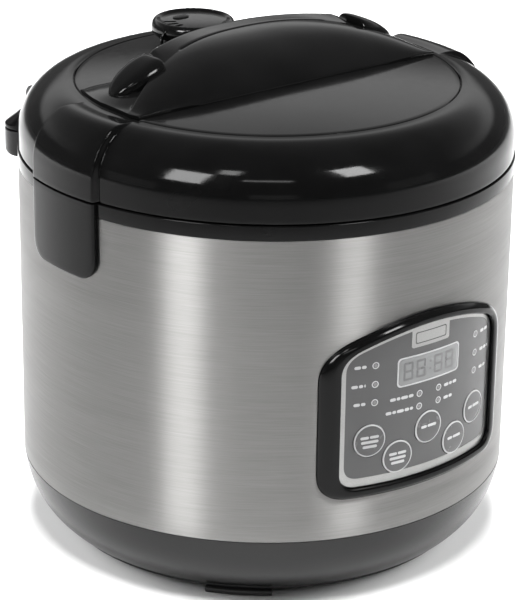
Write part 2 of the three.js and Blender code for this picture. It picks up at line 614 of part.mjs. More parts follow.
// ---- steam vent ----
function makeVent() {
  const at = (body) => body.translate([0, VENT_Y, 0]);
  const body = turned([[3.5, 211], [12, 211], [12, 257], [14, 257], [14, 262], [11, 262], [11, 254], [6, 252],
    [6, 219.5], [3.5, 219.5]], SMALL_SEGMENTS);
  place('vent_body', at(body), SATIN_BLACK);
  const cap = turned([[0, 271.5], [15, 271.5], [CAP_R - 3, 272.8], [CAP_R - 0.8, 271.6], [CAP_R, 268.5],
    [CAP_R - 0.8, 264], [CAP_R - 3, 262.6], [17, 262.6], [17, 266], [10.4, 266], [10.4, 255], [8.4, 255],
    [8.4, 267.5], [0, 267.5]], SMALL_SEGMENTS);
  const slots = [150, 180, 210, 240].map((a) => {
    const angle = THREE.MathUtils.degToRad(a - 90);
    return solid(new THREE.BoxGeometry(8, 2.6, 12).translate(12, 0, 271).rotateZ(angle));
  });
  const loop = new THREE.TorusGeometry(3.4, 1, 5, 10).rotateX(Math.PI / 2).rotateZ(0.5)
    .translate(-CAP_R * 0.72, -CAP_R * 0.5, 261.6);
  place('vent_cap', at(join(cut(cap, ...slots), solid(loop))), SATIN_BLACK);
  const ball = solid(new THREE.SphereGeometry(4.2, 10, 6).translate(0, VENT_Y, 225));
  const seat = turned([[0, 219.8], [5.4, 219.8], [5.4, 221.8], [0, 221.8]], 12);
  place('vent_float', join(ball, seat.translate([0, VENT_Y, 0])), SILICONE);
}

makeBase();
makeSleeve();
makeRing();
makeInside();
makePot();
makePanel();
makeInlet();
makeHingeBracket();
makeCollector();
makeLidShell();
makeTopPanel();
makeHandle();
makeLatches();
makeLidInside();
makeHingeCover();
makeVent();

export default root;
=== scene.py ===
# Looks for the multicooker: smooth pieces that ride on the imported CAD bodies, with procedural
# materials, on a pale floor. Lengths in the tables below are millimetres, as in the CAD, measured
# from the cooker's own axis; P() turns them into metres in the row frame.
import itertools
from math import ceil, copysign, cos, exp, hypot, pi, radians, sin, sqrt

import bmesh
import bpy
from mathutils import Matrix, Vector


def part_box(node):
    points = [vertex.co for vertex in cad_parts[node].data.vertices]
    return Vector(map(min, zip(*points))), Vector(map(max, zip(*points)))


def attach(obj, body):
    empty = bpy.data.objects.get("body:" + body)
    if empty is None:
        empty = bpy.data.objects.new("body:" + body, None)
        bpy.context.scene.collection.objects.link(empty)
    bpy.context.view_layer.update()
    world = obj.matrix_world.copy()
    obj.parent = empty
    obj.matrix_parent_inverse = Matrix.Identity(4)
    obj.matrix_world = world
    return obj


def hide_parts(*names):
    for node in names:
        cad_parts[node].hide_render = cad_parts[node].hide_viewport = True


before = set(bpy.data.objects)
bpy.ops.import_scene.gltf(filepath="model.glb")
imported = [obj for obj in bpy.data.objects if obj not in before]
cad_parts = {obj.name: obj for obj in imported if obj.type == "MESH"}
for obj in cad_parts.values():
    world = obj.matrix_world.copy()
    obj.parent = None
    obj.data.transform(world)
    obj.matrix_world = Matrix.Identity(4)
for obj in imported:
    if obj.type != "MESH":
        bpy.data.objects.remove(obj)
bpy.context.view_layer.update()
MM = 0.001
EDGE_ANGLE = 35                             # degrees; faces that meet at more are shaded as an edge
BEVEL_ANGLE = 40                            # degrees; edges sharper than this are rounded

lo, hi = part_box("outer_sleeve")
AXIS = (lo.y + hi.y) / 2                    # where the cooker's axis stands along Y
R = (hi.x - lo.x) / 2 / MM                  # radius of the steel sleeve


def P(x, y, z):
    """A point in metres in the row frame, from millimetres about the cooker's axis."""
    return Vector((x * MM, y * MM + AXIS, z * MM))


# ---------------------------------------------------------------- materials
def new_material(name):
    mat = bpy.data.materials.new(name)
    mat.use_nodes = True
    nodes, links = mat.node_tree.nodes, mat.node_tree.links
    return mat, nodes, links, nodes["Principled BSDF"]


def place_coords(nodes, links, stretch=(1, 1, 1)):
    coords = nodes.new("ShaderNodeTexCoord")
    mapping = nodes.new("ShaderNodeMapping")
    mapping.inputs["Scale"].default_value = stretch
    links.new(coords.outputs["Object"], mapping.inputs["Vector"])
    return mapping.outputs["Vector"]


def noise(nodes, links, vector, scale, detail=3.0, roughness=0.5):
    n = nodes.new("ShaderNodeTexNoise")
    n.inputs["Scale"].default_value = scale
    n.inputs["Detail"].default_value = detail
    n.inputs["Roughness"].default_value = roughness
    links.new(vector, n.inputs["Vector"])
    return n.outputs["Fac"]


def spread(nodes, links, value, low, high, start=0.3, end=0.7):
    m = nodes.new("ShaderNodeMapRange")
    m.inputs["From Min"].default_value = start
    m.inputs["From Max"].default_value = end
    m.inputs["To Min"].default_value = low
    m.inputs["To Max"].default_value = high
    links.new(value, m.inputs["Value"])
    return m.outputs["Result"]


def blend_colors(nodes, links, value, a, b):
    ramp = nodes.new("ShaderNodeValToRGB")
    ramp.color_ramp.elements[0].position = 0.3
    ramp.color_ramp.elements[0].color = (*a, 1)
    ramp.color_ramp.elements[1].position = 0.7
    ramp.color_ramp.elements[1].color = (*b, 1)
    links.new(value, ramp.inputs["Fac"])
    return ramp.outputs["Color"]


def bump(nodes, links, height, strength, distance):
    b = nodes.new("ShaderNodeBump")
    b.inputs["Strength"].default_value = strength
    b.inputs["Distance"].default_value = distance
    links.new(height, b.inputs["Height"])
    return b.outputs["Normal"]


def plastic(name, dark, light, rough, grain, spec):
    """Moulded plastic: two close tones, roughness that varies, and a fine surface texture."""
    mat, nodes, links, shader = new_material(name)
    at = place_coords(nodes, links)
    tones = blend_colors(nodes, links, noise(nodes, links, at, 45), dark, light)
    links.new(tones, shader.inputs["Base Color"])
    fine = noise(nodes, links, at, 260, 4)
    links.new(spread(nodes, links, fine, rough[0], rough[1]), shader.inputs["Roughness"])
    scale, strength = grain
    texture = bump(nodes, links, noise(nodes, links, at, scale, 2), strength, 0.0004)
    links.new(texture, shader.inputs["Normal"])
    shader.inputs["Specular IOR Level"].default_value = spec
    return mat


def metal(name, dark, light, rough, stretch, grain, anisotropy=0.0):
    """Bare metal: streaks along the stretched direction in colour, roughness and relief."""
    mat, nodes, links, shader = new_material(name)
    at = place_coords(nodes, links, stretch)
    scale, strength = grain
    streaks = noise(nodes, links, at, scale, 5, 0.6)
    broad = noise(nodes, links, at, scale / 12, 3)
    links.new(blend_colors(nodes, links, streaks, dark, light), shader.inputs["Base Color"])
    links.new(spread(nodes, links, broad, rough[0], rough[1]), shader.inputs["Roughness"])
    links.new(bump(nodes, links, streaks, strength, 0.0002), shader.inputs["Normal"])
    shader.inputs["Metallic"].default_value = 1.0
    if anisotropy:
        tangent = nodes.new("ShaderNodeTangent")
        tangent.direction_type = "RADIAL"
        tangent.axis = "Z"
        links.new(tangent.outputs["Tangent"], shader.inputs["Tangent"])
        shader.inputs["Anisotropic"].default_value = anisotropy
        shader.inputs["Anisotropic Rotation"].default_value = 0.25
    return mat


EVEN = (1, 1, 1)                            # no stretch


def grey(v):
    """A grey with a trace of blue."""
    return (v, v, v * 1.01)


MAT = {
    "gloss": plastic("gloss_black", grey(0.0030), grey(0.0045), (0.07, 0.12), (700, 0.012), 0.15),
    "base": plastic("base_black", grey(0.006), grey(0.009), (0.24, 0.27), (1600, 0.02), 0.38),
    "satin": plastic("satin_black", grey(0.008), grey(0.011), (0.32, 0.38), (2200, 0.05), 0.25),
    "handle": plastic("handle_black", grey(0.0030), grey(0.0045), (0.10, 0.15), (1400, 0.02), 0.30),
    "overlay": plastic("panel_film", grey(0.055), grey(0.062), (0.16, 0.24), (2600, 0.04), 0.5),
    "cap": plastic("button_film", grey(0.058), grey(0.066), (0.20, 0.28), (2600, 0.05), 0.5),
    "lens": plastic("display_window", (0.16, 0.165, 0.165), (0.20, 0.205, 0.205), (0.08, 0.14),
                    (900, 0.01), 0.5),
    "digit": plastic("display_digit", grey(0.10), grey(0.115), (0.25, 0.35), (900, 0.01), 0.4),
    "ink": plastic("pale_print", grey(0.40), grey(0.46), (0.35, 0.45), (3000, 0.05), 0.4),
    "led": plastic("lamp_dot", grey(0.16), grey(0.20), (0.15, 0.25), (1500, 0.02), 0.5),
    "rubber": plastic("rubber_black", grey(0.018), grey(0.030), (0.65, 0.80), (1800, 0.25), 0.3),
    "silicone": plastic("silicone_pale", (0.50, 0.50, 0.47), (0.58, 0.58, 0.55), (0.45, 0.55),
                        (900, 0.08), 0.4),
    "board": plastic("board_green", (0.015, 0.10, 0.035), (0.025, 0.14, 0.05), (0.35, 0.5), (500, 0.2), 0.4),
    "relay": plastic("relay_blue", (0.02, 0.05, 0.12), (0.03, 0.065, 0.15), (0.4, 0.5), (1200, 0.1), 0.4),
    "acetal": plastic("acetal_grey", (0.30, 0.30, 0.28), (0.36, 0.36, 0.34), (0.4, 0.5), (1200, 0.1), 0.4),
    "smoke": plastic("smoked_plastic", grey(0.018), grey(0.026), (0.10, 0.16), (900, 0.02), 0.5),
    "coating": plastic("nonstick_coat", grey(0.022), grey(0.040), (0.35, 0.50), (3500, 0.35), 0.45),
    "steel": metal("brushed_steel", (0.235, 0.232, 0.227), (0.29, 0.287, 0.281), (0.38, 0.42),
                   (0.012, 0.012, 1), (2600, 0.06), 1.0),
    "silver": metal("silver_film", (0.27, 0.27, 0.265), (0.33, 0.33, 0.325), (0.30, 0.40), EVEN,
                    (1800, 0.05)),
    "aluminium": metal("spun_aluminium", (0.62, 0.62, 0.63), (0.72, 0.72, 0.73), (0.28, 0.40),
                       (0.03, 0.03, 1), (1800, 0.12)),
    "wire": metal("plain_steel", (0.42, 0.42, 0.42), (0.52, 0.52, 0.52), (0.25, 0.35), EVEN, (900, 0.05)),
    "element": metal("tinted_steel", (0.16, 0.13, 0.11), (0.24, 0.21, 0.19), (0.4, 0.5), EVEN, (500, 0.15)),
    "brass": metal("pin_brass", (0.60, 0.43, 0.18), (0.68, 0.50, 0.22), (0.22, 0.32), EVEN, (900, 0.05)),
}


# ---------------------------------------------------------------- mesh helpers
def new_object(name, data):
    obj = bpy.data.objects.new(name, data)
    bpy.context.scene.collection.objects.link(obj)
    return obj


def piece(name, verts, faces, body, slot, look, replaces=(), angle=EDGE_ANGLE):
    """A closed mesh in row-frame metres, smooth but for edges sharper than `angle`."""
    me = bpy.data.meshes.new(name)
    me.from_pydata(verts, [], faces)
    bm = bmesh.new()
    bm.from_mesh(me)
    bmesh.ops.remove_doubles(bm, verts=bm.verts, dist=1e-7)
    bmesh.ops.recalc_face_normals(bm, faces=bm.faces)
    bm.to_mesh(me)
    bm.free()
    obj = new_object(name, me)
    finish_piece(obj, angle)
    if body:
        dress(obj, body, look, replaces)
    return obj


def finish_piece(obj, angle):
    obj.data.shade_smooth()
    obj.data.set_sharp_from_angle(angle=radians(angle))


def wear(obj, look):
    """One material for the whole mesh."""
    obj.data.materials.clear()
    obj.data.materials.append(MAT[look])


def dress(obj, body, look, replaces=()):
    wear(obj, look)
    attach(obj, body)
    if replaces:
        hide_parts(*replaces)


def loft(rings, close_start=True, close_end=True):
    """Verts and faces through rings of equal length, with flat caps where asked."""
    n = len(rings[0])
    verts = [v for ring in rings for v in ring]
    faces = []
    for i in range(len(rings) - 1):
        for j in range(n):
            k = (j + 1) % n
            faces.append((i * n + j, i * n + k, (i + 1) * n + k, (i + 1) * n + j))
    if close_start:
        faces.append(tuple(range(n - 1, -1, -1)))
    if close_end:
        faces.append(tuple(range((len(rings) - 1) * n, len(rings) * n)))
    return verts, faces


def ring_loop(rings):
    """Verts and faces through rings of equal length, with the last joined to the first."""
    verts, faces = loft(rings, False, False)
    n, last = len(rings[0]), (len(rings) - 1) * len(rings[0])
    for j in range(n):
        k = (j + 1) % n
        faces.append((last + j, last + k, k, j))
    return verts, faces


def bezier(a, b, c, t):
    """A point at share t of the quadratic curve from a to c, with b as its corner."""
    return tuple((1 - t) ** 2 * p + 2 * t * (1 - t) * q + t * t * s for p, q, s in zip(a, b, c))


def filleted(points, radius, steps=4):
    """The closed outline with every corner that is off the axis rounded."""
    out = []
    n = len(points)
    for i, (x, y) in enumerate(points):
        a, b, c = Vector(points[i - 1]), Vector((x, y)), Vector(points[(i + 1) % n])
        if x <= 1e-6:
            out.append((x, y))
            continue
        back, on = a - b, c - b
        reach = min(radius, back.length * 0.45, on.length * 0.45)
        p, q = b + back.normalized() * reach, b + on.normalized() * reach
        for s in range(steps + 1):
            t = s / steps
            out.append(tuple(p * (1 - t) ** 2 + b * (2 * t * (1 - t)) + q * t ** 2))
    return out


def turned(profile, segments=192, centre=(0, 0), start=None, sweep=None):
    """Verts and faces of a closed [r, z] outline turned about a vertical axis, all round or in part."""
    cx, cy = centre
    part = sweep is not None
    count = segments + 1 if part else segments
    rings = []
    for i in range(count):
        a = (start + sweep * i / segments) if part else 2 * pi * i / segments
        rings.append([P(cx + r * cos(a), cy + r * sin(a), z) for r, z in profile])
    return loft(rings) if part else ring_loop(rings)


def box_mesh(x0, x1, y0, y1, z0, z1):
    verts = [P(x, y, z) for x in (x0, x1) for y in (y0, y1) for z in (z0, z1)]
    faces = [(0, 1, 3, 2), (4, 6, 7, 5), (0, 4, 5, 1), (2, 3, 7, 6), (0, 2, 6, 4), (1, 5, 7, 3)]
    return verts, faces


def box_pair(near, far, *rest):
    """Two boxes mirrored in X, from `near` to `far` off the middle."""
    return [box_mesh(min(s * near, s * far), max(s * near, s * far), *rest) for s in (-1, 1)]


def bar_mesh(radius, x0, x1, y, z, segments=48, chamfer=0.4):
    """A round bar along X with chamfered ends."""
    rings = []
    small = radius - chamfer
    turns = [2 * pi * i / segments for i in range(segments)]
    for x, r in ((x0, small), (x0 + chamfer, radius), (x1 - chamfer, radius), (x1, small)):
        rings.append([P(x, y + r * cos(t), z + r * sin(t)) for t in turns])
    return loft(rings)


def post_mesh(radius, z0, z1, x=0.0, y=0.0, segments=64):
    return turned([(0, z0), (radius, z0), (radius, z1), (0, z1)], segments, (x, y))


def apply_modifiers(obj, angle):
    graph = bpy.context.evaluated_depsgraph_get()
    me = bpy.data.meshes.new_from_object(obj.evaluated_get(graph))
    obj.modifiers.clear()
    old, obj.data = obj.data, me
    bpy.data.meshes.remove(old)
    finish_piece(obj, angle)


def combine(obj, operation, meshes, angle):
    """A boolean of obj with each of the given (verts, faces), which keeps obj's one material."""
    material = obj.data.materials[0]
    for i, (verts, faces) in enumerate(meshes):
        tool = piece(f"tool_{obj.name}_{i}", verts, faces, None, None, None)
        mod = obj.modifiers.new("b", "BOOLEAN")
        mod.operation, mod.solver, mod.object = operation, "EXACT", tool
        bpy.context.view_layer.update()
        apply_modifiers(obj, angle)
        bpy.data.objects.remove(tool)
    obj.data.materials.clear()
    obj.data.materials.append(material)


def cut(obj, *meshes, angle=EDGE_ANGLE):
    combine(obj, "DIFFERENCE", meshes, angle)


def join(obj, *meshes):
    combine(obj, "UNION", meshes, EDGE_ANGLE)


def bevelled(obj, width, segments=2):
    mod = obj.modifiers.new("edge", "BEVEL")
    mod.width, mod.segments = width * MM, segments
    mod.limit_method, mod.angle_limit = "ANGLE", radians(BEVEL_ANGLE)
    apply_modifiers(obj, EDGE_ANGLE)


def smooth(t):
    """0 below 0, 1 above 1, and an even rise between."""
    t = min(max(t, 0.0), 1.0)
    return t * t * (3 - 2 * t)


# ---------------------------------------------------------------- body
SLEEVE_Z, SLEEVE_TOP, SEAM_Z = 42.0, 209.2, 217.5
BASE_RIM_Z = 7.0
INLET_HOLE = (-14.5, 14.5, 100, 150, 53.5, 74.5)    # its ends along x, y and z
SCREW_RING = 88                             # radius of the circle the case screws stand on
FOOT_SWEEP = 18                             # degrees each foot covers


def base_curve(inset, steps=24):
    """The base's side from under the sleeve down to its rim, as [r, z] points."""
    a, b, c = (R - inset, SLEEVE_Z - 0.3), (R - 2.5 - inset, 19.0), (117 - inset, BASE_RIM_Z)
    return [bezier(a, b, c, i / steps) for i in range(steps + 1)]


def make_body():
    back = R - 0.6
    sleeve = [(back, SLEEVE_Z), (R - 0.15, SLEEVE_Z), (R, SLEEVE_Z + 0.3), (R, 52), (R, 76), (R, SLEEVE_TOP),
              (back, SLEEVE_TOP), (back, 76), (back, 52)]
    obj = piece("sleeve_skin", *turned(sleeve, 256), "housing", "steel", "steel", ["outer_sleeve"])
    cut(obj, box_mesh(*INLET_HOLE))

    outer = base_curve(0)
    rim = [(115.6, BASE_RIM_Z - 0.2), (114.8, BASE_RIM_Z)]
    shell = [*outer, *rim, *reversed(base_curve(2.5))]
    piece("base_skin", *turned(shell, 256), "housing", "black_satin", "base", ["base_shell"])

    plate = filleted([(0, 3.8), (114.2, 3.8), (114.2, 6.7), (0, 6.7)], 0.8)
    obj = piece("base_cover", *turned(plate, 192), "housing", "black_satin", "satin", ["base_plate"])
    slots = [box_mesh(-30, 30, i * 12 - 2.5, i * 12 + 2.5, 0, 10) for i in range(-2, 3)]
    screws = [(SCREW_RING * cos(radians(a)), SCREW_RING * sin(radians(a))) for a in (90, 210, 330)]
    cut(obj, *slots, *[post_mesh(2.3, 0, 10, x, y, 32) for x, y in screws])
    for i, (x, y) in enumerate(screws):
        head = [(0, 1.9), (1.2, 1.9), (1.2, 1.6), (3.2, 1.6), (4, 2.4), (4, 3.5), (2, 3.5), (2, 16), (0, 16)]
        piece(f"case_screw_{i + 1}", *turned(head, 40, (x, y)), "housing", "wire", "wire",
              [f"base_screw_{i + 1}"])
    foot = filleted([(97, 0), (115, 0), (117, 3.5), (97, 3.5)], 0.9)
    for name, middle in (("front_left", -135), ("front_right", -45), ("rear_right", 45), ("rear_left", 135)):
        start = radians(middle - FOOT_SWEEP / 2)
        obj = piece(f"foot_pad_{name}", *turned(foot, 24, (0, 0), start, radians(FOOT_SWEEP)),
                    "housing", "rubber", "rubber", [f"foot_{name}"])
        bevelled(obj, 0.6)


TAB_HALF = radians(11.4)                    # half the angle a side tab covers
TAB_R = 137.8
TAB_BOTTOM = 174.5
TAB_CORNER = 11.0


def side_slab(side, radius_back, radius_face, z_top, inset_steps):
    """A tab below the seam: an outline wrapped round the cooker, with rounded lower corners."""
    half = TAB_R * TAB_HALF
    quarter = [pi / 2 * i / 10 for i in range(10)]

    def outline(inset):
        w, c = half - inset, max(TAB_CORNER - inset, 1)
        z0, z1 = TAB_BOTTOM + inset, z_top - inset * 0.5
        pts = [(-w, z1 - (z1 - z0 - c) * i / 10) for i in range(10)]
        pts += [(-w + c - c * cos(t), z0 + c - c * sin(t)) for t in quarter]
        pts += [(-w + c + (2 * w - 2 * c) * i / 24, z0) for i in range(24)]
        pts += [(w - c + c * sin(t), z0 + c - c * cos(t)) for t in quarter]
        pts += [(w, z0 + c + (z1 - z0 - c) * i / 10) for i in range(10)]
        pts += [(w - 2 * w * i / 24, z1) for i in range(24)]
        return pts

    def wrap(pts, radius):
        base = 0 if side > 0 else pi
        turns = [(base + s / TAB_R, z) for s, z in pts]
        return [P(radius * cos(a), radius * sin(a), z) for a, z in turns]

    rings = [wrap(outline(0), radius_back)]
    rings += [wrap(outline(inset), radius_face - drop) for inset, drop in inset_steps]
    last = outline(inset_steps[-1][0])
    middle = sum(z for _, z in last) / len(last)
    for i in range(1, 9):
        k = 1 - i / 9
        rings.append(wrap([(s * k, middle + (z - middle) * k) for s, z in last], radius_face))
    return loft(rings)


def make_ring():
    top = SEAM_Z - 0.3
    ring = filleted([(116.5, 205), (R - 0.9, 205), (R - 0.9, 209.5), (R + 0.3, 209.5), (R + 0.3, top),
                     (123.5, top), (123.5, 210), (116.5, 210)], 0.5)
    obj = piece("ring_band", *turned(ring, 256), "housing", "black_gloss", "gloss", ["top_ring"])
    cut(obj, *box_pair(121.5, 131.5, 5, 17, 200, 220))
    for side, name in ((-1, "left"), (1, "right")):
        steps = [(0, 1.0), (0.25, 0.45), (0.7, 0.1), (1.3, 0.0)]
        piece(f"side_tab_{name}", *side_slab(side, R + 0.2, TAB_R, top, steps),
              "housing", "black_gloss", "gloss")


# ---------------------------------------------------------------- control panel
PANEL_HALF, PANEL_BOTTOM, PANEL_CROWN = 62, 65, 162.3
PANEL_BOW = 226                             # the larger, the flatter the panel's top edge


def panel_outline(side, top=None, bottom=None):
    """The panel's outline, `side`, `top` and `bottom` in from the bezel's edge, as (x, z) points."""
    top = side * 5.5 / 9 if top is None else top
    bottom = side * 6 / 9 if bottom is None else bottom
    w, z0, crown = PANEL_HALF - side, PANEL_BOTTOM + bottom, PANEL_CROWN - top
    corner = max(3.0, 15 - side * 0.6)
    reach = w - corner * 1.2
    drop = reach * reach / PANEL_BOW
    hip = crown - drop - corner * 1.2 * (2 * drop / reach)

    def line(a, b, n):
        return [(a[0] + (b[0] - a[0]) * i / n, a[1] + (b[1] - a[1]) * i / n) for i in range(n)]

    def curve(a, b, c, n):
        return [bezier(a, b, c, i / n) for i in range(n)]

    pts = line((-w + corner, z0), (w - corner, z0), 40)
    pts += curve((w - corner, z0), (w, z0), (w, z0 + corner), 12)
    pts += line((w, z0 + corner), (w, hip - corner), 16)
    pts += curve((w, hip - corner), (w, hip), (reach, crown - drop), 14)
    pts += curve((reach, crown - drop), (0, crown + drop), (-reach, crown - drop), 48)
    pts += curve((-reach, crown - drop), (-w, hip), (-w, hip - corner), 14)
    pts += line((-w, hip - corner), (-w, z0 + corner), 16)
    pts += curve((-w, z0 + corner), (-w, z0), (-w + corner, z0), 12)
    return pts


def circle(x, z, radius, n):
    """A circle as (x, z) points."""
    turns = [2 * pi * i / n for i in range(n)]
    return [(x + radius * cos(t), z + radius * sin(t)) for t in turns]


def wrapped(points, radius):
    """Points (x, z) laid on a cylinder about the cooker's axis, at the front."""
    return [P(x, -sqrt(radius * radius - x * x), z) for x, z in points]


def shrunk(points, share, centre):
    """The points drawn in toward `centre`, to `share` of their distance."""
    cx, cz = centre
    return [(cx + (x - cx) * share, cz + (z - cz) * share) for x, z in points]


def inner_line(outline, width, centre, half):
    """The outline drawn in by `width` on every side of its box."""
    (cx, cz), (hx, hz) = centre, half
    return [(cx + (x - cx) * (hx - width) / hx, cz + (z - cz) * (hz - width) / hz) for x, z in outline]


def plate_on_panel(outline, back, face, centre, edge=0.15, fill=10):
    """A thin plate that follows the panel's curve, with softened edges."""
    rings = [wrapped(outline, back), wrapped(outline, face - edge)]
    rings += [wrapped(shrunk(outline, 0.995 * (1 - i / fill), centre), face) for i in range(fill)]
    return loft(rings)


def strip_on_panel(outer, inner, back, face):
    """A raised band between two outlines of equal length."""
    rings = [wrapped(outer, back), wrapped(outer, face), wrapped(inner, face), wrapped(inner, back)]
    return ring_loop(rings)


def rounded_rect(x0, x1, z0, z1, r, n=6):
    pts = []
    corners = ((x1 - r, z0 + r, -90), (x1 - r, z1 - r, 0), (x0 + r, z1 - r, 90), (x0 + r, z0 + r, 180))
    for cx, cz, a0 in corners:
        for i in range(n + 1):
            a = radians(a0 + 90 * i / n)
            pts.append((cx + r * cos(a), cz + r * sin(a)))
    return divided(pts)


def divided(points, step=2.5):
    """The closed outline with long sides split, so that it follows the panel's curve."""
    out = []
    for i, (x, z) in enumerate(points):
        x1, z1 = points[(i + 1) % len(points)]
        n = max(1, ceil(hypot(x1 - x, z1 - z) / step))
        out += [(x + (x1 - x) * k / n, z + (z1 - z) * k / n) for k in range(n)]
    return out


def merged(parts):
    """Several (verts, faces) as one."""
    verts, faces = [], []
    for v, f in parts:
        start = len(verts)
        verts += v
        faces += [tuple(start + i for i in face) for face in f]
    return verts, faces


PANEL_BACK_R = R + 0.6
OVERLAY_R = R + 2.0                         # face of the panel's film
PRINT_BACK_R = OVERLAY_R - 0.1              # back of the prints, sunk into the film
FILM_RINGS = 26
BUTTON_R = 9.2
BUTTON_FACE_R = 137.4
BUTTON_ANGLES = [-15.4, -8.3, 0, 8.3, 15.4]
BUTTON_HEIGHTS = [97, 84.8, 97, 84.8, 97]
# lamps as (degrees, height), labels as (degrees, degrees, height)
LAMPS = [(-14.4, 138.8), (-14.4, 128.3), (-14.4, 118.1), (15.3, 138.8), (15.3, 128.3), (15.3, 118.1),
         (-2.8, 117.5), (-2.8, 110.3), (2.8, 117.5), (2.8, 110.3)]
LABELS = [(-19.4, -16.6, 138.8), (-20.0, -16.6, 128.3), (-19.4, -16.6, 118.1),
          (17.4, 20.6, 138.8), (17.4, 21.0, 128.3), (17.4, 20.2, 118.1),
          (-10.6, -4.5, 117.5), (-11.6, -4.5, 110.3), (4.5, 8.6, 117.5), (4.5, 7.2, 110.3)]


def film_x(degrees):
    return OVERLAY_R * sin(radians(degrees))


def button_point(i, across, up, out):
    """A point in one button's own axes: across, up and out from the panel's curve."""
    a = radians(BUTTON_ANGLES[i])
    x = out * sin(a) + across * cos(a)
    y = -out * cos(a) + across * sin(a)
    return P(x, y, BUTTON_HEIGHTS[i] + up)


def button_lathe(i, profile, segments=64):
    """Verts and faces of a closed [r, out] outline turned about a button's own axis."""
    rings = []
    for s in range(segments):
        t = 2 * pi * s / segments
        rings.append([button_point(i, r * cos(t), r * sin(t), h) for r, h in profile])
    return ring_loop(rings)


def button_bar(i, x0, x1, z0, z1, h0, h1):
    """A blank dash on a button's face."""
    outline = rounded_rect(x0, x1, z0, z1, (z1 - z0) / 2 * 0.95, 4)
    return loft([[button_point(i, x, z, h) for x, z in outline] for h in (h0, h1)])


def label_bars(x0, x1, z, height):
    """A blank label: short rounded dashes, filling x0 to x1."""
    parts, x = [], x0
    lengths = itertools.cycle([3.4, 2.2, 4.2, 2.8, 3.8])
    while x < x1 - 0.8:
        end = min(x + next(lengths), x1)
        if x1 - end < 1.2:
            end = x1
        outline = rounded_rect(x, end, z - height / 2, z + height / 2, height * 0.45, 3)
        parts.append(plate_on_panel(outline, PRINT_BACK_R, OVERLAY_R + 0.09, ((x + end) / 2, z), 0.03, 2))
        x = end + 0.55
    return parts


def digit_bars(x, z, w, h, t):
    """A seven-segment figure eight, as thin plates on the window."""
    gap = 0.35
    across, middle = (x + gap, x + w - gap), z + h / 2
    rects = [(*across, z + h - t, z + h), (*across, middle - t / 2, middle + t / 2), (*across, z, z + t)]
    for side in ((x, x + t), (x + w - t, x + w)):
        rects += [(*side, middle + gap, z + h - gap), (*side, z + gap, middle - gap)]
    return [plate_on_panel(rounded_rect(*r, t * 0.3, 2), PRINT_BACK_R, OVERLAY_R + 0.06,
                           ((r[0] + r[1]) / 2, (r[2] + r[3]) / 2), 0.02, 2) for r in rects]


def make_bezel():
    bezel_steps = [(0, 135.3), (0, 136.6), (0.5, 137.4), (1.6, 138.3), (3.2, 139.1), (4.2, 139.42),
                   (4.8, 139.5), (8.0, 139.5), (8.6, 139.25), (8.95, 138.7), (9.0, 137.8), (9.0, 135.3)]
    rings = [wrapped(panel_outline(s), r) for s, r in bezel_steps]
    piece("bezel_frame", *ring_loop(rings), "housing", "black_gloss", "gloss", ["panel_bezel"])


def make_film():
    centre = (0.0, 112.0)
    outline = panel_outline(9.4)
    rings = [wrapped(shrunk(outline, (i + 1) / FILM_RINGS, centre), PANEL_BACK_R) for i in range(FILM_RINGS)]
    rings.append(wrapped(outline, OVERLAY_R - 0.3))
    rings += [wrapped(shrunk(outline, 0.996 * (1 - i / FILM_RINGS), centre), OVERLAY_R)
              for i in range(FILM_RINGS)]
    obj = piece("panel_film", *loft(rings), "housing", "panel_grey", "overlay", ["panel_overlay"])
    hole = [(0, 125), (BUTTON_R + 0.3, 125), (BUTTON_R + 0.3, 145), (0, 145)]
    cut(obj, *[button_lathe(i, hole) for i in range(5)])

    border = strip_on_panel(panel_outline(9.9, 6.4, 6.8), panel_outline(12.3, 8.0, 11.4),
                            PRINT_BACK_R, OVERLAY_R + 0.14)
    tab = plate_on_panel(rounded_rect(-13, 13, 144, 154.4, 1.4), PRINT_BACK_R, OVERLAY_R + 0.16,
                         (0, 150), 0.05, 4)
    piece("panel_border", *border, "housing", "panel_grey", "silver")
    piece("panel_tab", *tab, "housing", "panel_grey", "silver")
    line = rounded_rect(-10.6, 10.6, 146, 152.4, 1.0)
    frame_line = strip_on_panel(line, inner_line(line, 0.5, (0, 149.2), (10.6, 3.2)),
                                OVERLAY_R, OVERLAY_R + 0.24)
    piece("panel_tab_line", *frame_line, "housing", "panel_grey", "overlay")


def make_display():
    window = rounded_rect(-20.7, 20.7, 124.3, 139.2, 1.8)
    piece("window_glass", *plate_on_panel(window, PANEL_BACK_R, OVERLAY_R + 0.05, (0, 131.75), 0.05, 8),
          "housing", "display", "lens", ["display_lens"])
    line = rounded_rect(-21.4, 21.4, 123.6, 139.9, 2.4)
    edge = strip_on_panel(line, inner_line(line, 0.75, (0, 131.75), (21.4, 8.15)),
                          PRINT_BACK_R, OVERLAY_R + 0.16)
    piece("window_line", *edge, "housing", "panel_grey", "ink")
    figures = []
    for x in (-17.6, -9.4, 2.6, 10.8):
        figures += digit_bars(x, 126.6, 6.2, 10.2, 1.25)
    for z in (129.4, 133.6):
        colon_dot = rounded_rect(-0.75, 0.75, z, z + 1.4, 0.6, 3)
        figures.append(plate_on_panel(colon_dot, PRINT_BACK_R, OVERLAY_R + 0.06, (0, z + 0.7), 0.02, 2))
    piece("window_figures", *merged(figures), "housing", "display", "digit")


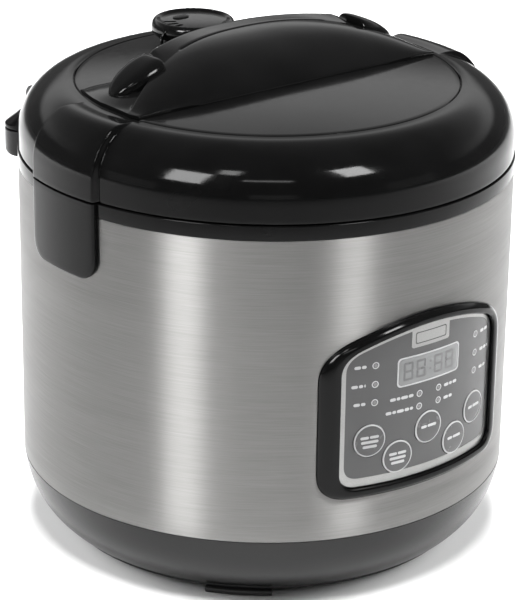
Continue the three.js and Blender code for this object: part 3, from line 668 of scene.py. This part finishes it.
def make_prints():
    prints, dots = [], []
    for degrees, z in LAMPS:
        x = film_x(degrees)
        ring = strip_on_panel(circle(x, z, 1.9, 28), circle(x, z, 1.35, 28), PRINT_BACK_R, OVERLAY_R + 0.1)
        prints.append(ring)
        dot = circle(x, z, 0.95, 20)
        dots.append(plate_on_panel(dot, PRINT_BACK_R, OVERLAY_R + 0.12, (x, z), 0.05, 3))
    for a0, a1, z in LABELS:
        prints += label_bars(film_x(a0), film_x(a1), z, 1.7)
    piece("panel_print", *merged(prints), "housing", "panel_grey", "ink")
    piece("panel_lamps", *merged(dots), "housing", "panel_grey", "led")


def make_buttons():
    top = BUTTON_FACE_R
    cap = [(0, top + 0.22), (3, top + 0.2), (6, top + 0.12), (8.2, top), (8.9, top - 0.25),
           (BUTTON_R, top - 0.7), (BUTTON_R, top - 1.3), (0, top - 1.3)]
    ring = [(8.35, top - 0.2), (8.35, top + 0.1), (8.55, top + 0.12), (9.0, top - 0.08), (9.12, top - 0.3),
            (9.0, top - 0.5)]
    four_dashes = [(-5.4, -0.6, 2.0), (0.0, 5.2, 2.0), (-5.0, 5.0, -0.6), (-4.0, 4.2, -3.2)]
    two_dashes = [(-5.2, -1.4, 0.7), (-0.8, 5.2, 0.7)]
    for i in range(5):
        piece(f"button_face_{i + 1}", *button_lathe(i, cap), f"button_{i + 1}", "panel_grey", "cap",
              [f"panel_button_{i + 1}"])
        piece(f"button_ring_{i + 1}", *button_lathe(i, ring), f"button_{i + 1}", "panel_grey", "ink")
        rows = four_dashes if i < 2 else two_dashes
        bars = [button_bar(i, a, b, z - 0.75, z + 0.75, top - 0.3, top + 0.3) for a, b, z in rows]
        piece(f"button_print_{i + 1}", *merged(bars), f"button_{i + 1}", "panel_grey", "ink")


# ---------------------------------------------------------------- lid
LID_R, SHOULDER_R, SHOULDER_Z, LID_TOP = 134.6, 27.0, 227.0, 258.0
PANEL_R = 104.0                             # radius of the disc in the lid's top
VENT_Y = 66                                 # the vent stands this far behind the lid's centre
PAD_HALF = radians(11.4)                    # half the angle a side pad covers
PAD_EDGE = radians(0.42)                    # half the angle in which a pad rises at its sides
PAD_RISE, PAD_FADE = 3.2, 0.55
DOME_DROP, DOME_R = 4.0, 107.6


def dome_z(r):
    """Height of the lid's slightly domed top."""
    return LID_TOP - DOME_DROP * (r / DOME_R) ** 2


def make_lid_shell():
    """The lid's rounded ring. Profile points are (r, z, kx, kz): the pads rise along (kx, kz)."""
    bottom = SEAM_Z + 0.4
    centre = LID_R - SHOULDER_R
    outer = [(LID_R - 0.5, bottom, 1.0, 0), (LID_R - 0.1, bottom + 0.25, 1.0, 0),
             (LID_R, bottom + 0.8, 1.0, 0)]
    outer += [(LID_R, z, 1.0, 0) for z in (220, 223, 225, SHOULDER_Z)]
    for i in range(1, 33):
        a = pi / 2 * i / 32
        c, s = cos(a), sin(a)
        outer.append((centre + SHOULDER_R * c, SHOULDER_Z + SHOULDER_R * s, c, s))
    edge_z = dome_z(PANEL_R)
    outer += [(106, dome_z(105.6), 0, 0), (PANEL_R + 0.9, edge_z, 0, 0),
              (PANEL_R + 0.45, edge_z - 0.35, 0, 0)]
    inner = [(PANEL_R + 0.45, edge_z - 4.5, 0, 0), (101, edge_z - 4.5, 0, 0), (101, edge_z - 6.5, 0, 0),
             (106, edge_z - 6.5, 0, 0)]
    for i in range(8, -1, -1):
        a = pi / 2 * i / 8
        inner.append((centre + 24.5 * cos(a), SHOULDER_Z + 22.5 * sin(a), 0, 0))
    inner.append((LID_R - 2.5, bottom, 0, 0))
    angles = []
    for side in (0, pi):
        for s in (-1, 1):
            angles += [side + s * (PAD_HALF + PAD_EDGE * (k / 5 - 1)) for k in range(11)]
    angles += [2 * pi * i / 240 for i in range(240)]
    angles = sorted({round(a % (2 * pi), 6) for a in angles})
    rings = []
    for a in angles:
        off = min(abs((a + pi) % (2 * pi) - pi), abs(a - pi))
        rise = smooth((PAD_HALF + PAD_EDGE - off) / (2 * PAD_EDGE)) * PAD_RISE
        ring = []
        for r, z, kx, kz in [*outer, *inner]:
            out = rise * smooth(kx / PAD_FADE)
            reach = r + out * kx
            ring.append(P(reach * cos(a), reach * sin(a), z + out * kz))
        rings.append(ring)
    piece("lid_skin", *loft([*rings, rings[0]], False, False), "lid", "black_gloss", "gloss",
          ["lid_shell"], 40)


def make_top_panel():
    edge = dome_z(PANEL_R)
    top = [(r, dome_z(r)) for r in (0, 12, 24, 36, 48, 60, 70, 80, 90, 97, 101, 102.8)]
    profile = [*top, (103.6, edge - 0.12), (PANEL_R, edge - 0.6), (PANEL_R, edge - 2.4), (0, LID_TOP - 2.5)]
    obj = piece("lid_disc", *turned(profile, 224), "lid", "black_gloss", "gloss", ["lid_top_panel"])
    slots = box_pair(70, 82, 6.4, 15.6, 240, 270)
    cut(obj, post_mesh(15, 240, 270, 0, VENT_Y, 96), *slots)


HANDLE_END, BAND_WIDTH, BAND_END = 103.0, 13.5, 64.4
CREST_TOP, CREST_DROP, CREST_SPAN = 278, 26.7, 108
POCKET_HALF = 46                            # half the length of the finger pocket


def crest_z(x):
    """Height of the handle's ridge, where its front face meets the band."""
    return CREST_TOP - CREST_DROP * (abs(x) / CREST_SPAN) ** 2.8


def crest_y(x):
    return 20.25 - 0.00326 * x * x


def band_tilt(x):
    """How much higher the band's rear edge stands than its front edge."""
    return 3.3 * min(abs(x) / BAND_END, 1) ** 3 - 0.9 * smooth((abs(x) - BAND_END + 4) / 4) ** 2


def front_y(x):
    """Where the handle's front face starts on the lid."""
    return max(-28.5 + 0.0007 * x * x, -sqrt(max(PANEL_R ** 2 - x * x, 0)))


def foot_y(x):
    """How far back the handle's foot reaches: just behind the band, and wider at the ends."""
    band = crest_y(x) + BAND_WIDTH + 1.0
    wide = 40.5 - 0.02 * (abs(x) - 88) ** 2
    y = band + (max(wide, band) - band) * smooth((abs(x) - 52) / 20)
    return min(y, sqrt(max((PANEL_R - 0.5) ** 2 - x * x, 0)))


def handle_top(x, y):
    """Height of the handle's surface: a bulging front face, the flat band, then a low foot."""
    floor = dome_z(min(hypot(x, y), PANEL_R))
    yf, yc, yr = front_y(x), crest_y(x), foot_y(x)
    rim = sqrt(max(min((y - yf) / 1.2, 1), 0))
    lip = 0.5 + 1.1 * smooth((abs(x) - 60) / 30) + 0.4 * rim
    if y > yc and abs(x) > BAND_END:
        fade = smooth((yr - y) / 9)
        lip *= fade + (1 - fade) * smooth((abs(x) - 95) / 3)
    rise = max(crest_z(x) - floor, 1.5)
    t = min(max((y - yf) / max(yc - yf, 1), 0), 1)
    face = rise * (1 - (1 - t) ** 2.1) ** 0.8
    px, py = (abs(x) - 70) / 34, (y - 6) / 34
    pad = 5.6 * max(1 - px * px - py * py, 0) ** 1.5 * smooth((abs(x) - 50) / 14)
    if y > yc:
        if abs(x) > BAND_END + 0.3:
            face *= 1 - smooth((y - yc) / 3.0)
        else:
            past = y - yc - BAND_WIDTH
            face += band_tilt(x) * (1 + min(past, 0) / BAND_WIDTH)
            if past > -1.5:
                u = min((past + 1.5) / 1.5, 1)
                face -= 1.5 * (1 - sqrt(1 - u * u))
            if past > 0:
                face = 0
    groove = smooth((50 - abs(x)) / 1.5)
    face -= 0.9 * groove * exp(-((y - yc - 0.4) / 0.55) ** 2)
    low = (lip + pad) if abs(x) > BAND_END or y < yc + BAND_WIDTH else 0.12
    return floor + max(face + lip * (1 - min(face / rise, 1)), low, 0.12)


def handle_rows(x):
    """The y values of one column across the handle, closest together at its edges."""
    yf, yc, yr = front_y(x), crest_y(x), foot_y(x)
    yb = min(yc + BAND_WIDTH, yr - 0.4)
    face = [0, 0.004, 0.012, 0.025, 0.045, 0.07, 0.1, 0.14, 0.19, 0.25, 0.32, 0.4, 0.48, 0.56, 0.64, 0.72,
            0.79, 0.85, 0.9, 0.94]
    rows = [yf + (yc - yf) * v for v in face]
    rows += [yc + d for d in (-1.2, -0.6, -0.2, 0.1, 0.4, 0.7, 1.1, 1.7)]
    rows += [yc + 1.7 + (yb - yc - 3.2) * v for v in (0.15, 0.3, 0.45, 0.6, 0.75, 0.88, 1.0)]
    rows += [yb + d for d in (-1.2, -0.9, -0.55, -0.25, -0.08, 0, 0.02)]
    rows += [yb + 0.02 + (yr - yb - 0.02) * v for v in (0.15, 0.3, 0.45, 0.6, 0.75, 0.88, 0.96, 1.0)]
    out = []
    for i, y in enumerate(rows):
        latest = yr - (len(rows) - 1 - i) * 0.01
        out.append(max(min(y, latest), (out[-1] + 0.01) if out else y))
    return out


def make_handle():
    xs = [-HANDLE_END + 2 * HANDLE_END * i / 168 for i in range(169)]
    xs = [x for x in xs if abs(abs(x) - BAND_END) > 0.9]
    for s in (-1, 1):
        xs += [s * (BAND_END + d) for d in (-0.4, 0.25, 0.45)]
    xs.sort()
    columns = []
    for x in xs:
        rows = handle_rows(x)
        top = [P(x, y, handle_top(x, y)) for y in rows]
        under = [P(x, y, dome_z(min(hypot(x, y), PANEL_R)) + 0.05) for y in (rows[0], rows[-1])]
        columns.append([under[0], *top, under[1]])
    obj = piece("handle_arch", *loft(columns), "lid", "black_gloss", "handle",
                ["lid_handle", "handle_strip"], 32)
    pocket = []
    for i in range(65):
        x = -POCKET_HALF * cos(pi * i / 64)
        ease = sqrt(max(1 - (abs(x) / POCKET_HALF) ** 4, 0.0004))
        yc, z1 = crest_y(x), 262 + (crest_z(x) - 6 - 262) * ease
        pocket.append([P(x, yc - 1.5, 250), P(x, yc + 22, 250), P(x, yc + 22, z1 + 0.5),
                       P(x, yc + 5, z1), P(x, yc + 1, z1 - 1.2), P(x, yc - 1.5, z1 - 4)])
    cut(obj, loft(pocket), angle=32)


def make_release_buttons():
    arc = [pi * j / 40 for j in range(41)]
    for side, name in ((-1, "left"), (1, "right")):
        rings = []
        for x, wide, tall in release_stations():
            rings.append([P(side * x, 11 + 12.2 * wide * squared(cos(t)),
                            258.2 + (17.0 + 0.6 * cos(t)) * tall * squared(sin(t))) for t in arc])
        piece(f"release_dome_{name}", *loft(rings), f"latch_{name}", "black_gloss", "gloss",
              [f"release_button_{name}"], 40)


def release_stations():
    """Along a release button, from the band outward: x, and the shares of its full width and height."""
    out = [(68.05, 0.93, 0.94), (68.3, 0.975, 0.98), (69.0, 1.0, 0.995)]
    for i in range(1, 25):
        u = sin(pi / 2 * i / 24)
        wide = max(1 - u ** 2.25, 0.0) ** 0.5
        tall = 0.995 * max(1 - u ** 1.4, 0.0) ** 0.72
        out.append((69 + 27 * u, max(wide, 0.02), max(tall, 0.02)))
    return out


def squared(value):
    """Cosine or sine of a section that is fuller at its corners than a circle."""
    return copysign(abs(value) ** 0.5, value)


def make_vent():
    def disc(profile, segments=112):
        return turned(profile, segments, (0, VENT_Y))

    cap = [(0, 270.6), (16.5, 270.9), (18.5, 271.3), (19.6, 272.3), (20.6, 272.8), (21.8, 272.3),
           (22.8, 271.0), (23.4, 269.0), (23.5, 267.2), (23.0, 265.2), (21.6, 263.6), (19.6, 262.7),
           (17.2, 262.6), (16.6, 263.2), (16.6, 266), (10.4, 266), (10.4, 255), (8.4, 255), (8.4, 267.5),
           (0, 267.5)]
    obj = piece("cap_dome", *disc(filleted(cap, 0.5, 3)), "vent_cap", "black_satin", "handle", ["vent_cap"])
    slots = []
    outline = rounded_rect(9.5, 16.5, -1.2, 1.2, 1.1, 5)
    for degrees in (150, 172, 194):
        c, s = cos(radians(degrees)), sin(radians(degrees))
        slots.append(loft([[P(u * c - v * s, VENT_Y + u * s + v * c, z) for u, v in outline]
                           for z in (268, 276)]))
    cut(obj, *slots)
    oval = rounded_rect(-6, 4, 8, 12.4, 2.1, 6)
    rings = [[P(u, VENT_Y + v, 270.5) for u, v in oval], [P(u, VENT_Y + v, 271.3) for u, v in oval],
             [P(-1 + (u + 1) * 0.86, VENT_Y + 10.2 + (v - 10.2) * 0.8, 271.6) for u, v in oval]]
    piece("cap_key", *loft(rings), "vent_cap", "black_satin", "satin")
    loop = []
    for i in range(40):
        t = 2 * pi * i / 40
        ring = []
        for j in range(12):
            u = 2 * pi * j / 12
            wide, tall = 2.8 + 0.9 * cos(u), 5.3 + 0.9 * cos(u)
            ring.append(P(-22 + wide * cos(t), 62 + 0.9 * sin(u), 263.7 + tall * sin(t)))
        loop.append(ring)
    piece("cap_loop", *loft([*loop, loop[0]], False, False), "vent_cap", "black_satin", "handle")
    body = filleted([(3.5, 211), (12, 211), (12, 257), (14, 257), (14, 262), (11, 262), (11, 254), (6, 252),
                     (6, 219.5), (3.5, 219.5)], 0.5, 3)
    piece("vent_tube", *disc(body), "lid", "black_satin", "satin", ["vent_body"])
    collar = filleted([(15.3, 257.0), (18.5, 257.0), (18.5, 257.8), (16.4, 259.4), (15.3, 259.4)], 0.4, 3)
    piece("vent_collar", *disc(collar), "lid", "black_satin", "satin")


# ---------------------------------------------------------------- hinge, rear and inside
HINGE_Y, HINGE_Z = 147.0, 217.4
KNUCKLE_R, KNUCKLE_ROOM_R, ROD_BORE_R, ROD_R = 6, 6.6, 2.8, 2.5


def eased_arc(profile, inner, start, sweep, ease, segments=96):
    """A profile swept about the axis whose ends round in toward the `inner` radius."""
    rings = []
    for i in range(segments + 1):
        share = (1 - cos(pi * i / segments)) / 2
        u = min(min(share, 1 - share) * sweep / ease, 1)
        k = max(sqrt(1 - (1 - u) ** 2), 0.03)
        a = start + sweep * share
        reaches = [(inner + (r - inner) * k, z) for r, z in profile]
        rings.append([P(r * cos(a), r * sin(a), z) for r, z in reaches])
    return loft(rings)


def hinge_leaf(name, profile, inner, spans, neck, body, slot, look, replaced):
    """One half of the hinge: an arch with rounded ends, its knuckles and the bore for the rod."""
    start, sweep, ease = radians(90 - 46), radians(92), radians(5)
    arch = eased_arc(filleted(profile, 0.9, 4), inner, start, sweep, ease)
    obj = piece(name, *arch, body, slot, look, [replaced])
    bevelled(obj, 0.8)
    cut(obj, bar_mesh(KNUCKLE_ROOM_R, -55.6, 55.6, HINGE_Y, HINGE_Z))
    knuckles = []
    for x0, x1 in spans:
        knuckles += [bar_mesh(KNUCKLE_R, x0, x1, HINGE_Y, HINGE_Z), box_mesh(x0 + 0.4, x1 - 0.4, *neck)]
    join(obj, *knuckles)
    cut(obj, bar_mesh(ROD_BORE_R, -60, 60, HINGE_Y, HINGE_Z))


def make_hinge():
    inner = R + 0.6
    hinge_leaf("hinge_arch", [(inner, 203), (146, 203), (147, 205), (147, 217.2), (inner, 217.2)], inner,
               ((-55, -34.6), (34.6, 55)), (139, 148, 204.5, 215.4), "housing", "black_satin", "base",
               "hinge_bracket")
    inner = LID_R + 0.4
    hinge_leaf("hinge_lid_arch", [(inner, 218), (147, 218), (147, 220), (138.5, 226.5), (inner, 226.5)],
               inner, ((-34, -14), (14, 34)), (138.5, 147, 219.4, 222.9), "lid", "black_gloss", "gloss",
               "lid_hinge_cover")
    piece("hinge_rod", *bar_mesh(ROD_R, -54.5, 54.5, HINGE_Y, HINGE_Z), "housing", "wire", "wire",
          ["hinge_pin"])


def make_rear():
    obj = piece("collector_cup", *box_mesh(-27, 27, 125, 151, 152, 198), "condensate_collector",
                "collector_plastic", "smoke", ["condensate_collector"])
    join(obj, box_mesh(-22, 22, 125, 149, 148, 154))
    cut(obj, box_mesh(-25, 25, R + 2.4, 149, 154, 200), post_mesh(R + 0.4, 140, 210, 0, 0, 256),
        box_mesh(-8.3, 8.3, 120, R + 5, 184, 202))
    bevelled(obj, 0.7, 3)

    obj = piece("inlet_case", *box_mesh(-18, 18, R + 0.4, R + 3, 50, 78), "housing", "black_satin", "satin",
                ["power_inlet"])
    bevelled(obj, 0.8, 3)
    join(obj, box_mesh(-14, 14, 119.5, R + 1, 54, 74))
    pins = ((-7, 66), (7, 66), (0, 61.5))
    cut(obj, box_mesh(-12, 12, 122.5, R + 4, 56, 72),
        *[box_mesh(x - 1.3, x + 1.3, 115, 133, z - 2.3, z + 2.3) for x, z in pins])
    for (x, z), name in zip(pins, ("line", "neutral", "earth")):
        obj = piece(f"pin_blade_{name}", *box_mesh(x - 1, x + 1, 118.6, 133, z - 2, z + 2),
                    "housing", "brass", "brass", [f"inlet_pin_{name}"])
        bevelled(obj, 0.4, 2)
    obj = piece("clip_block", *box_mesh(-8, 8, R + 0.4, R + 4, 184.3, 201), "housing", "black_satin", "satin",
                ["collector_clip"])
    bevelled(obj, 0.6, 2)


def make_inside():
    corner, wall, pot_r, pot_z, rim = 22.0, 1.6, 114.5, 74.0, 210.3

    def arc(radius, steps=12):
        return [(pot_r - corner + radius * sin(a), pot_z + corner - radius * cos(a))
                for a in (pi / 2 * i / steps for i in range(steps + 1))]

    lip, inside = rim + wall, pot_r - wall
    pot = [(0, pot_z), *arc(corner), (pot_r, rim), (122.2, rim), (122.6, rim + 0.5), (122.3, lip),
           (pot_r + 0.6, lip), (inside + 0.3, lip - 0.3), (inside, lip - 1.2),
           *reversed(arc(corner - wall)), (0, pot_z + wall)]
    piece("pot_bowl", *turned(pot, 192), "pot", "pot_coating", "coating", ["inner_pot"])
    liner = filleted([(80, 57), (118, 57), (118, 204.7), (117, 204.7), (117, 58), (80, 58)], 0.3, 2)
    piece("liner_wall", *turned(liner, 160), "housing", "aluminium", "aluminium", ["inner_liner"])
    plate = filleted([(19, 58.3), (92, 58.3), (92, 68), (86, 72), (19, 72)], 1.0, 3)
    piece("heater_disc", *turned(plate, 160), "housing", "aluminium", "aluminium", ["heating_plate"])
    plunger = filleted([(0, 60), (10, 60), (10, 62), (16, 62), (16, 73.4), (0, 73.4)], 0.8, 3)
    piece("sensor_head", *turned(plunger, 96), "thermostat", "aluminium", "aluminium", ["thermostat_plunger"])
    shell = filleted([(0, 221), (119, 221), (119, 215.5), (121, 215.5), (121, 223), (0, 223)], 0.6, 3)
    obj = piece("lid_liner", *turned(shell, 192), "lid", "black_satin", "satin", ["lid_inner_shell"])
    cut(obj, post_mesh(13, 190, 270, 0, VENT_Y))
    gasket = filleted([(112, 212.3), (121, 212.3), (121, 215.1), (116, 215.1), (112, 214)], 0.7, 3)
    piece("lid_seal", *turned(gasket, 192), "lid", "silicone", "silicone", ["lid_gasket"])
    inner = filleted([(0, 217), (104, 217), (108, 213), (110.8, 213), (110.8, 211.8), (107.5, 211.8),
                      (103.5, 215.8), (0, 215.8)], 0.5, 3)
    obj = piece("lid_plate", *turned(inner, 192), "lid", "aluminium", "aluminium", ["inner_lid_plate"])
    holes = [post_mesh(2.5, 200, 230, x, -20, 32) for x in (-14, 0, 14)]
    cut(obj, post_mesh(13, 190, 270, 0, VENT_Y), *holes)


# nodes that keep their CAD shape, with the look each one gets
CARRIED = {
    "liner_support": "aluminium", "heating_element": "element", "thermostat_cup": "aluminium",
    "thermostat_spring": "wire", "power_board": "board", "relay": "relay", "control_board": "board",
    "display_module": "satin", "hinge_spring": "wire", "latch_spring_left": "wire",
    "latch_spring_right": "wire", "latch_slider_left": "acetal", "latch_slider_right": "acetal",
    "vent_float": "silicone",
}

make_body()
make_ring()
make_bezel()
make_film()
make_display()
make_prints()
make_buttons()
make_lid_shell()
make_top_panel()
make_handle()
make_release_buttons()
make_vent()
make_hinge()
make_rear()
make_inside()
for node, look in CARRIED.items():
    wear(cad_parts[node], look)


# ---------------------------------------------------------------- floor, light and camera
def make_floor():
    me = bpy.data.meshes.new("floor")
    size = 14.0
    corners = [(-size, -size, 0), (size, -size, 0), (size, size, 0), (-size, size, 0)]
    me.from_pydata(corners, [], [(0, 1, 2, 3)])
    floor = new_object("floor", me)
    mat, nodes, links, shader = new_material("pale_floor")
    at = place_coords(nodes, links)
    tones = blend_colors(nodes, links, noise(nodes, links, at, 3), (0.86, 0.86, 0.86), (0.88, 0.88, 0.88))
    links.new(tones, shader.inputs["Base Color"])
    shader.inputs["Roughness"].default_value = 0.7
    shader.inputs["Specular IOR Level"].default_value = 0.2
    me.materials.append(mat)


CAMERA_AZIMUTH = -39.2
HEADING = radians(CAMERA_AZIMUTH)
FORWARD = Vector((-sin(HEADING), cos(HEADING), 0))    # level, the way the camera looks
LOOK_AT = Vector((0, AXIS, 0.15))


def softbox(name, azimuth, elevation, distance, width, height, power):
    """A panel that shiny surfaces mirror. Azimuth 0 is behind the camera and grows to its right."""
    data = bpy.data.lights.new(name, "AREA")
    data.shape = "RECTANGLE"
    data.size, data.size_y, data.energy = width, height, power
    light = new_object(name, data)
    a, e = radians(CAMERA_AZIMUTH + azimuth), radians(elevation)
    away = Vector((sin(a) * cos(e), -cos(a) * cos(e), sin(e)))
    light.location = LOOK_AT + away * distance
    light.rotation_euler = (-away).to_track_quat("-Z", "Y").to_euler()
    light.visible_camera = False
    light.visible_diffuse = False
    return light


def level_ramp(nodes, links, value, stops):
    """Grey levels at given positions of `value`."""
    ramp = nodes.new("ShaderNodeValToRGB")
    first, last = ramp.color_ramp.elements
    first.position, first.color = stops[0][0], (*[stops[0][1]] * 3, 1)
    last.position, last.color = stops[-1][0], (*[stops[-1][1]] * 3, 1)
    for position, level in stops[1:-1]:
        ramp.color_ramp.elements.new(position).color = (level, level, level, 1)
    links.new(value, ramp.inputs["Fac"])
    return ramp.outputs["Color"]


def make_world():
    """A studio that is bright low down behind the cooker and dim in front of it and overhead."""
    world = bpy.data.worlds.new("studio")
    bpy.context.scene.world = world
    world.use_nodes = True
    nodes, links = world.node_tree.nodes, world.node_tree.links
    coords = nodes.new("ShaderNodeTexCoord")
    split = nodes.new("ShaderNodeSeparateXYZ")
    links.new(coords.outputs["Generated"], split.inputs["Vector"])
    behind = nodes.new("ShaderNodeVectorMath")
    behind.operation = "DOT_PRODUCT"
    behind.inputs[1].default_value = FORWARD
    links.new(coords.outputs["Generated"], behind.inputs[0])
    share = spread(nodes, links, behind.outputs["Value"], 0.0, 1.0, 0.0, 0.7)
    back = level_ramp(nodes, links, split.outputs["Z"],
                      [(0.0, 0.12), (0.22, 0.14), (0.29, 0.95), (0.37, 0.95), (0.45, 0.56), (0.62, 0.24),
                       (1.0, 0.09)])
    front = level_ramp(nodes, links, split.outputs["Z"],
                       [(0.0, 0.12), (0.35, 0.09), (0.7, 0.08), (1.0, 0.08)])
    mix = nodes.new("ShaderNodeMix")
    mix.data_type = "RGBA"
    links.new(share, mix.inputs["Factor"])
    links.new(front, mix.inputs["A"])
    links.new(back, mix.inputs["B"])
    links.new(mix.outputs["Result"], nodes["Background"].inputs["Color"])
    nodes["Background"].inputs["Strength"].default_value = 1.0


def floor_light(name, ahead, aim, height, energy, cone, softness):
    """A soft lamp `ahead` of the cooker, as the camera looks, aimed at the floor `aim` ahead of it."""
    data = bpy.data.lights.new(name, "SPOT")
    data.energy, data.shadow_soft_size = energy, softness
    data.spot_size, data.spot_blend = radians(cone), 0.7
    light = new_object(name, data)
    target = Vector((0, AXIS, 0)) + FORWARD * aim
    light.location = Vector((0, AXIS, height)) + FORWARD * ahead
    light.rotation_euler = (target - light.location).to_track_quat("-Z", "Y").to_euler()
    light.visible_glossy = False


def side_fill(name, azimuth, energy):
    """A large diffuse panel beside the cooker that opens the shadow at its foot."""
    light = softbox(name, azimuth, 22, 2.2, 1.8, 1.4, energy)
    light.visible_diffuse = True
    light.visible_glossy = False


def make_camera():
    cam = bpy.data.cameras.new("camera")
    cam.sensor_width, cam.lens = 36.0, 152.4
    cam.clip_start, cam.clip_end = 0.05, 60
    obj = new_object("camera", cam)
    bpy.context.scene.camera = obj
    distance, height = 1.3192, 0.6466
    obj.location = (distance * sin(HEADING), AXIS - distance * cos(HEADING), height)
    pitch, roll, yaw = 0.3767, 0.0147, 0.0005
    right = Vector((cos(HEADING), sin(HEADING), 0))
    ahead = FORWARD * cos(yaw) + right * sin(yaw)
    side = right * cos(yaw) - FORWARD * sin(yaw)
    look = ahead * cos(pitch) - Vector((0, 0, 1)) * sin(pitch)
    up = side.cross(look)
    x_axis = side * cos(roll) + up * sin(roll)
    y_axis = up * cos(roll) - side * sin(roll)
    turn = obj.matrix_world.to_3x3()
    turn.col[0], turn.col[1], turn.col[2] = x_axis, y_axis, -look
    obj.rotation_mode = "QUATERNION"
    obj.rotation_quaternion = turn.to_quaternion()


make_floor()
make_world()
make_camera()
# name, ahead, aim, height, energy, cone in degrees, softness
floor_light("pool_behind", 1.4, 0.85, 3.2, 620, 46, 0.6)
floor_light("pool_around", -0.9, -0.06, 2.6, 300, 21, 0.4)
floor_light("pool_wide", -0.2, 0.0, 3.6, 60, 110, 0.9)
side_fill("side_fill_left", -100, 72)
side_fill("side_fill_right", 100, 72)
# name, azimuth, elevation, distance, width, height, power
softbox("key_left", -38, 34, 2.2, 0.60, 0.80, 38)
softbox("key_right", 47, 45, 2.2, 0.46, 0.62, 30)
softbox("front_strip", 1, 37, 2.4, 0.80, 0.12, 2.5)
softbox("top_square", -20, 51, 2.2, 0.26, 0.34, 4)
softbox("low_left", -61, 7, 2.6, 1.15, 0.60, 0.75)
softbox("low_middle", 3, 5, 2.6, 0.90, 0.40, 0.6)
softbox("low_right", 66, 7, 2.6, 1.15, 0.60, 0.6)
bpy.context.scene.view_settings.view_transform = "Standard"
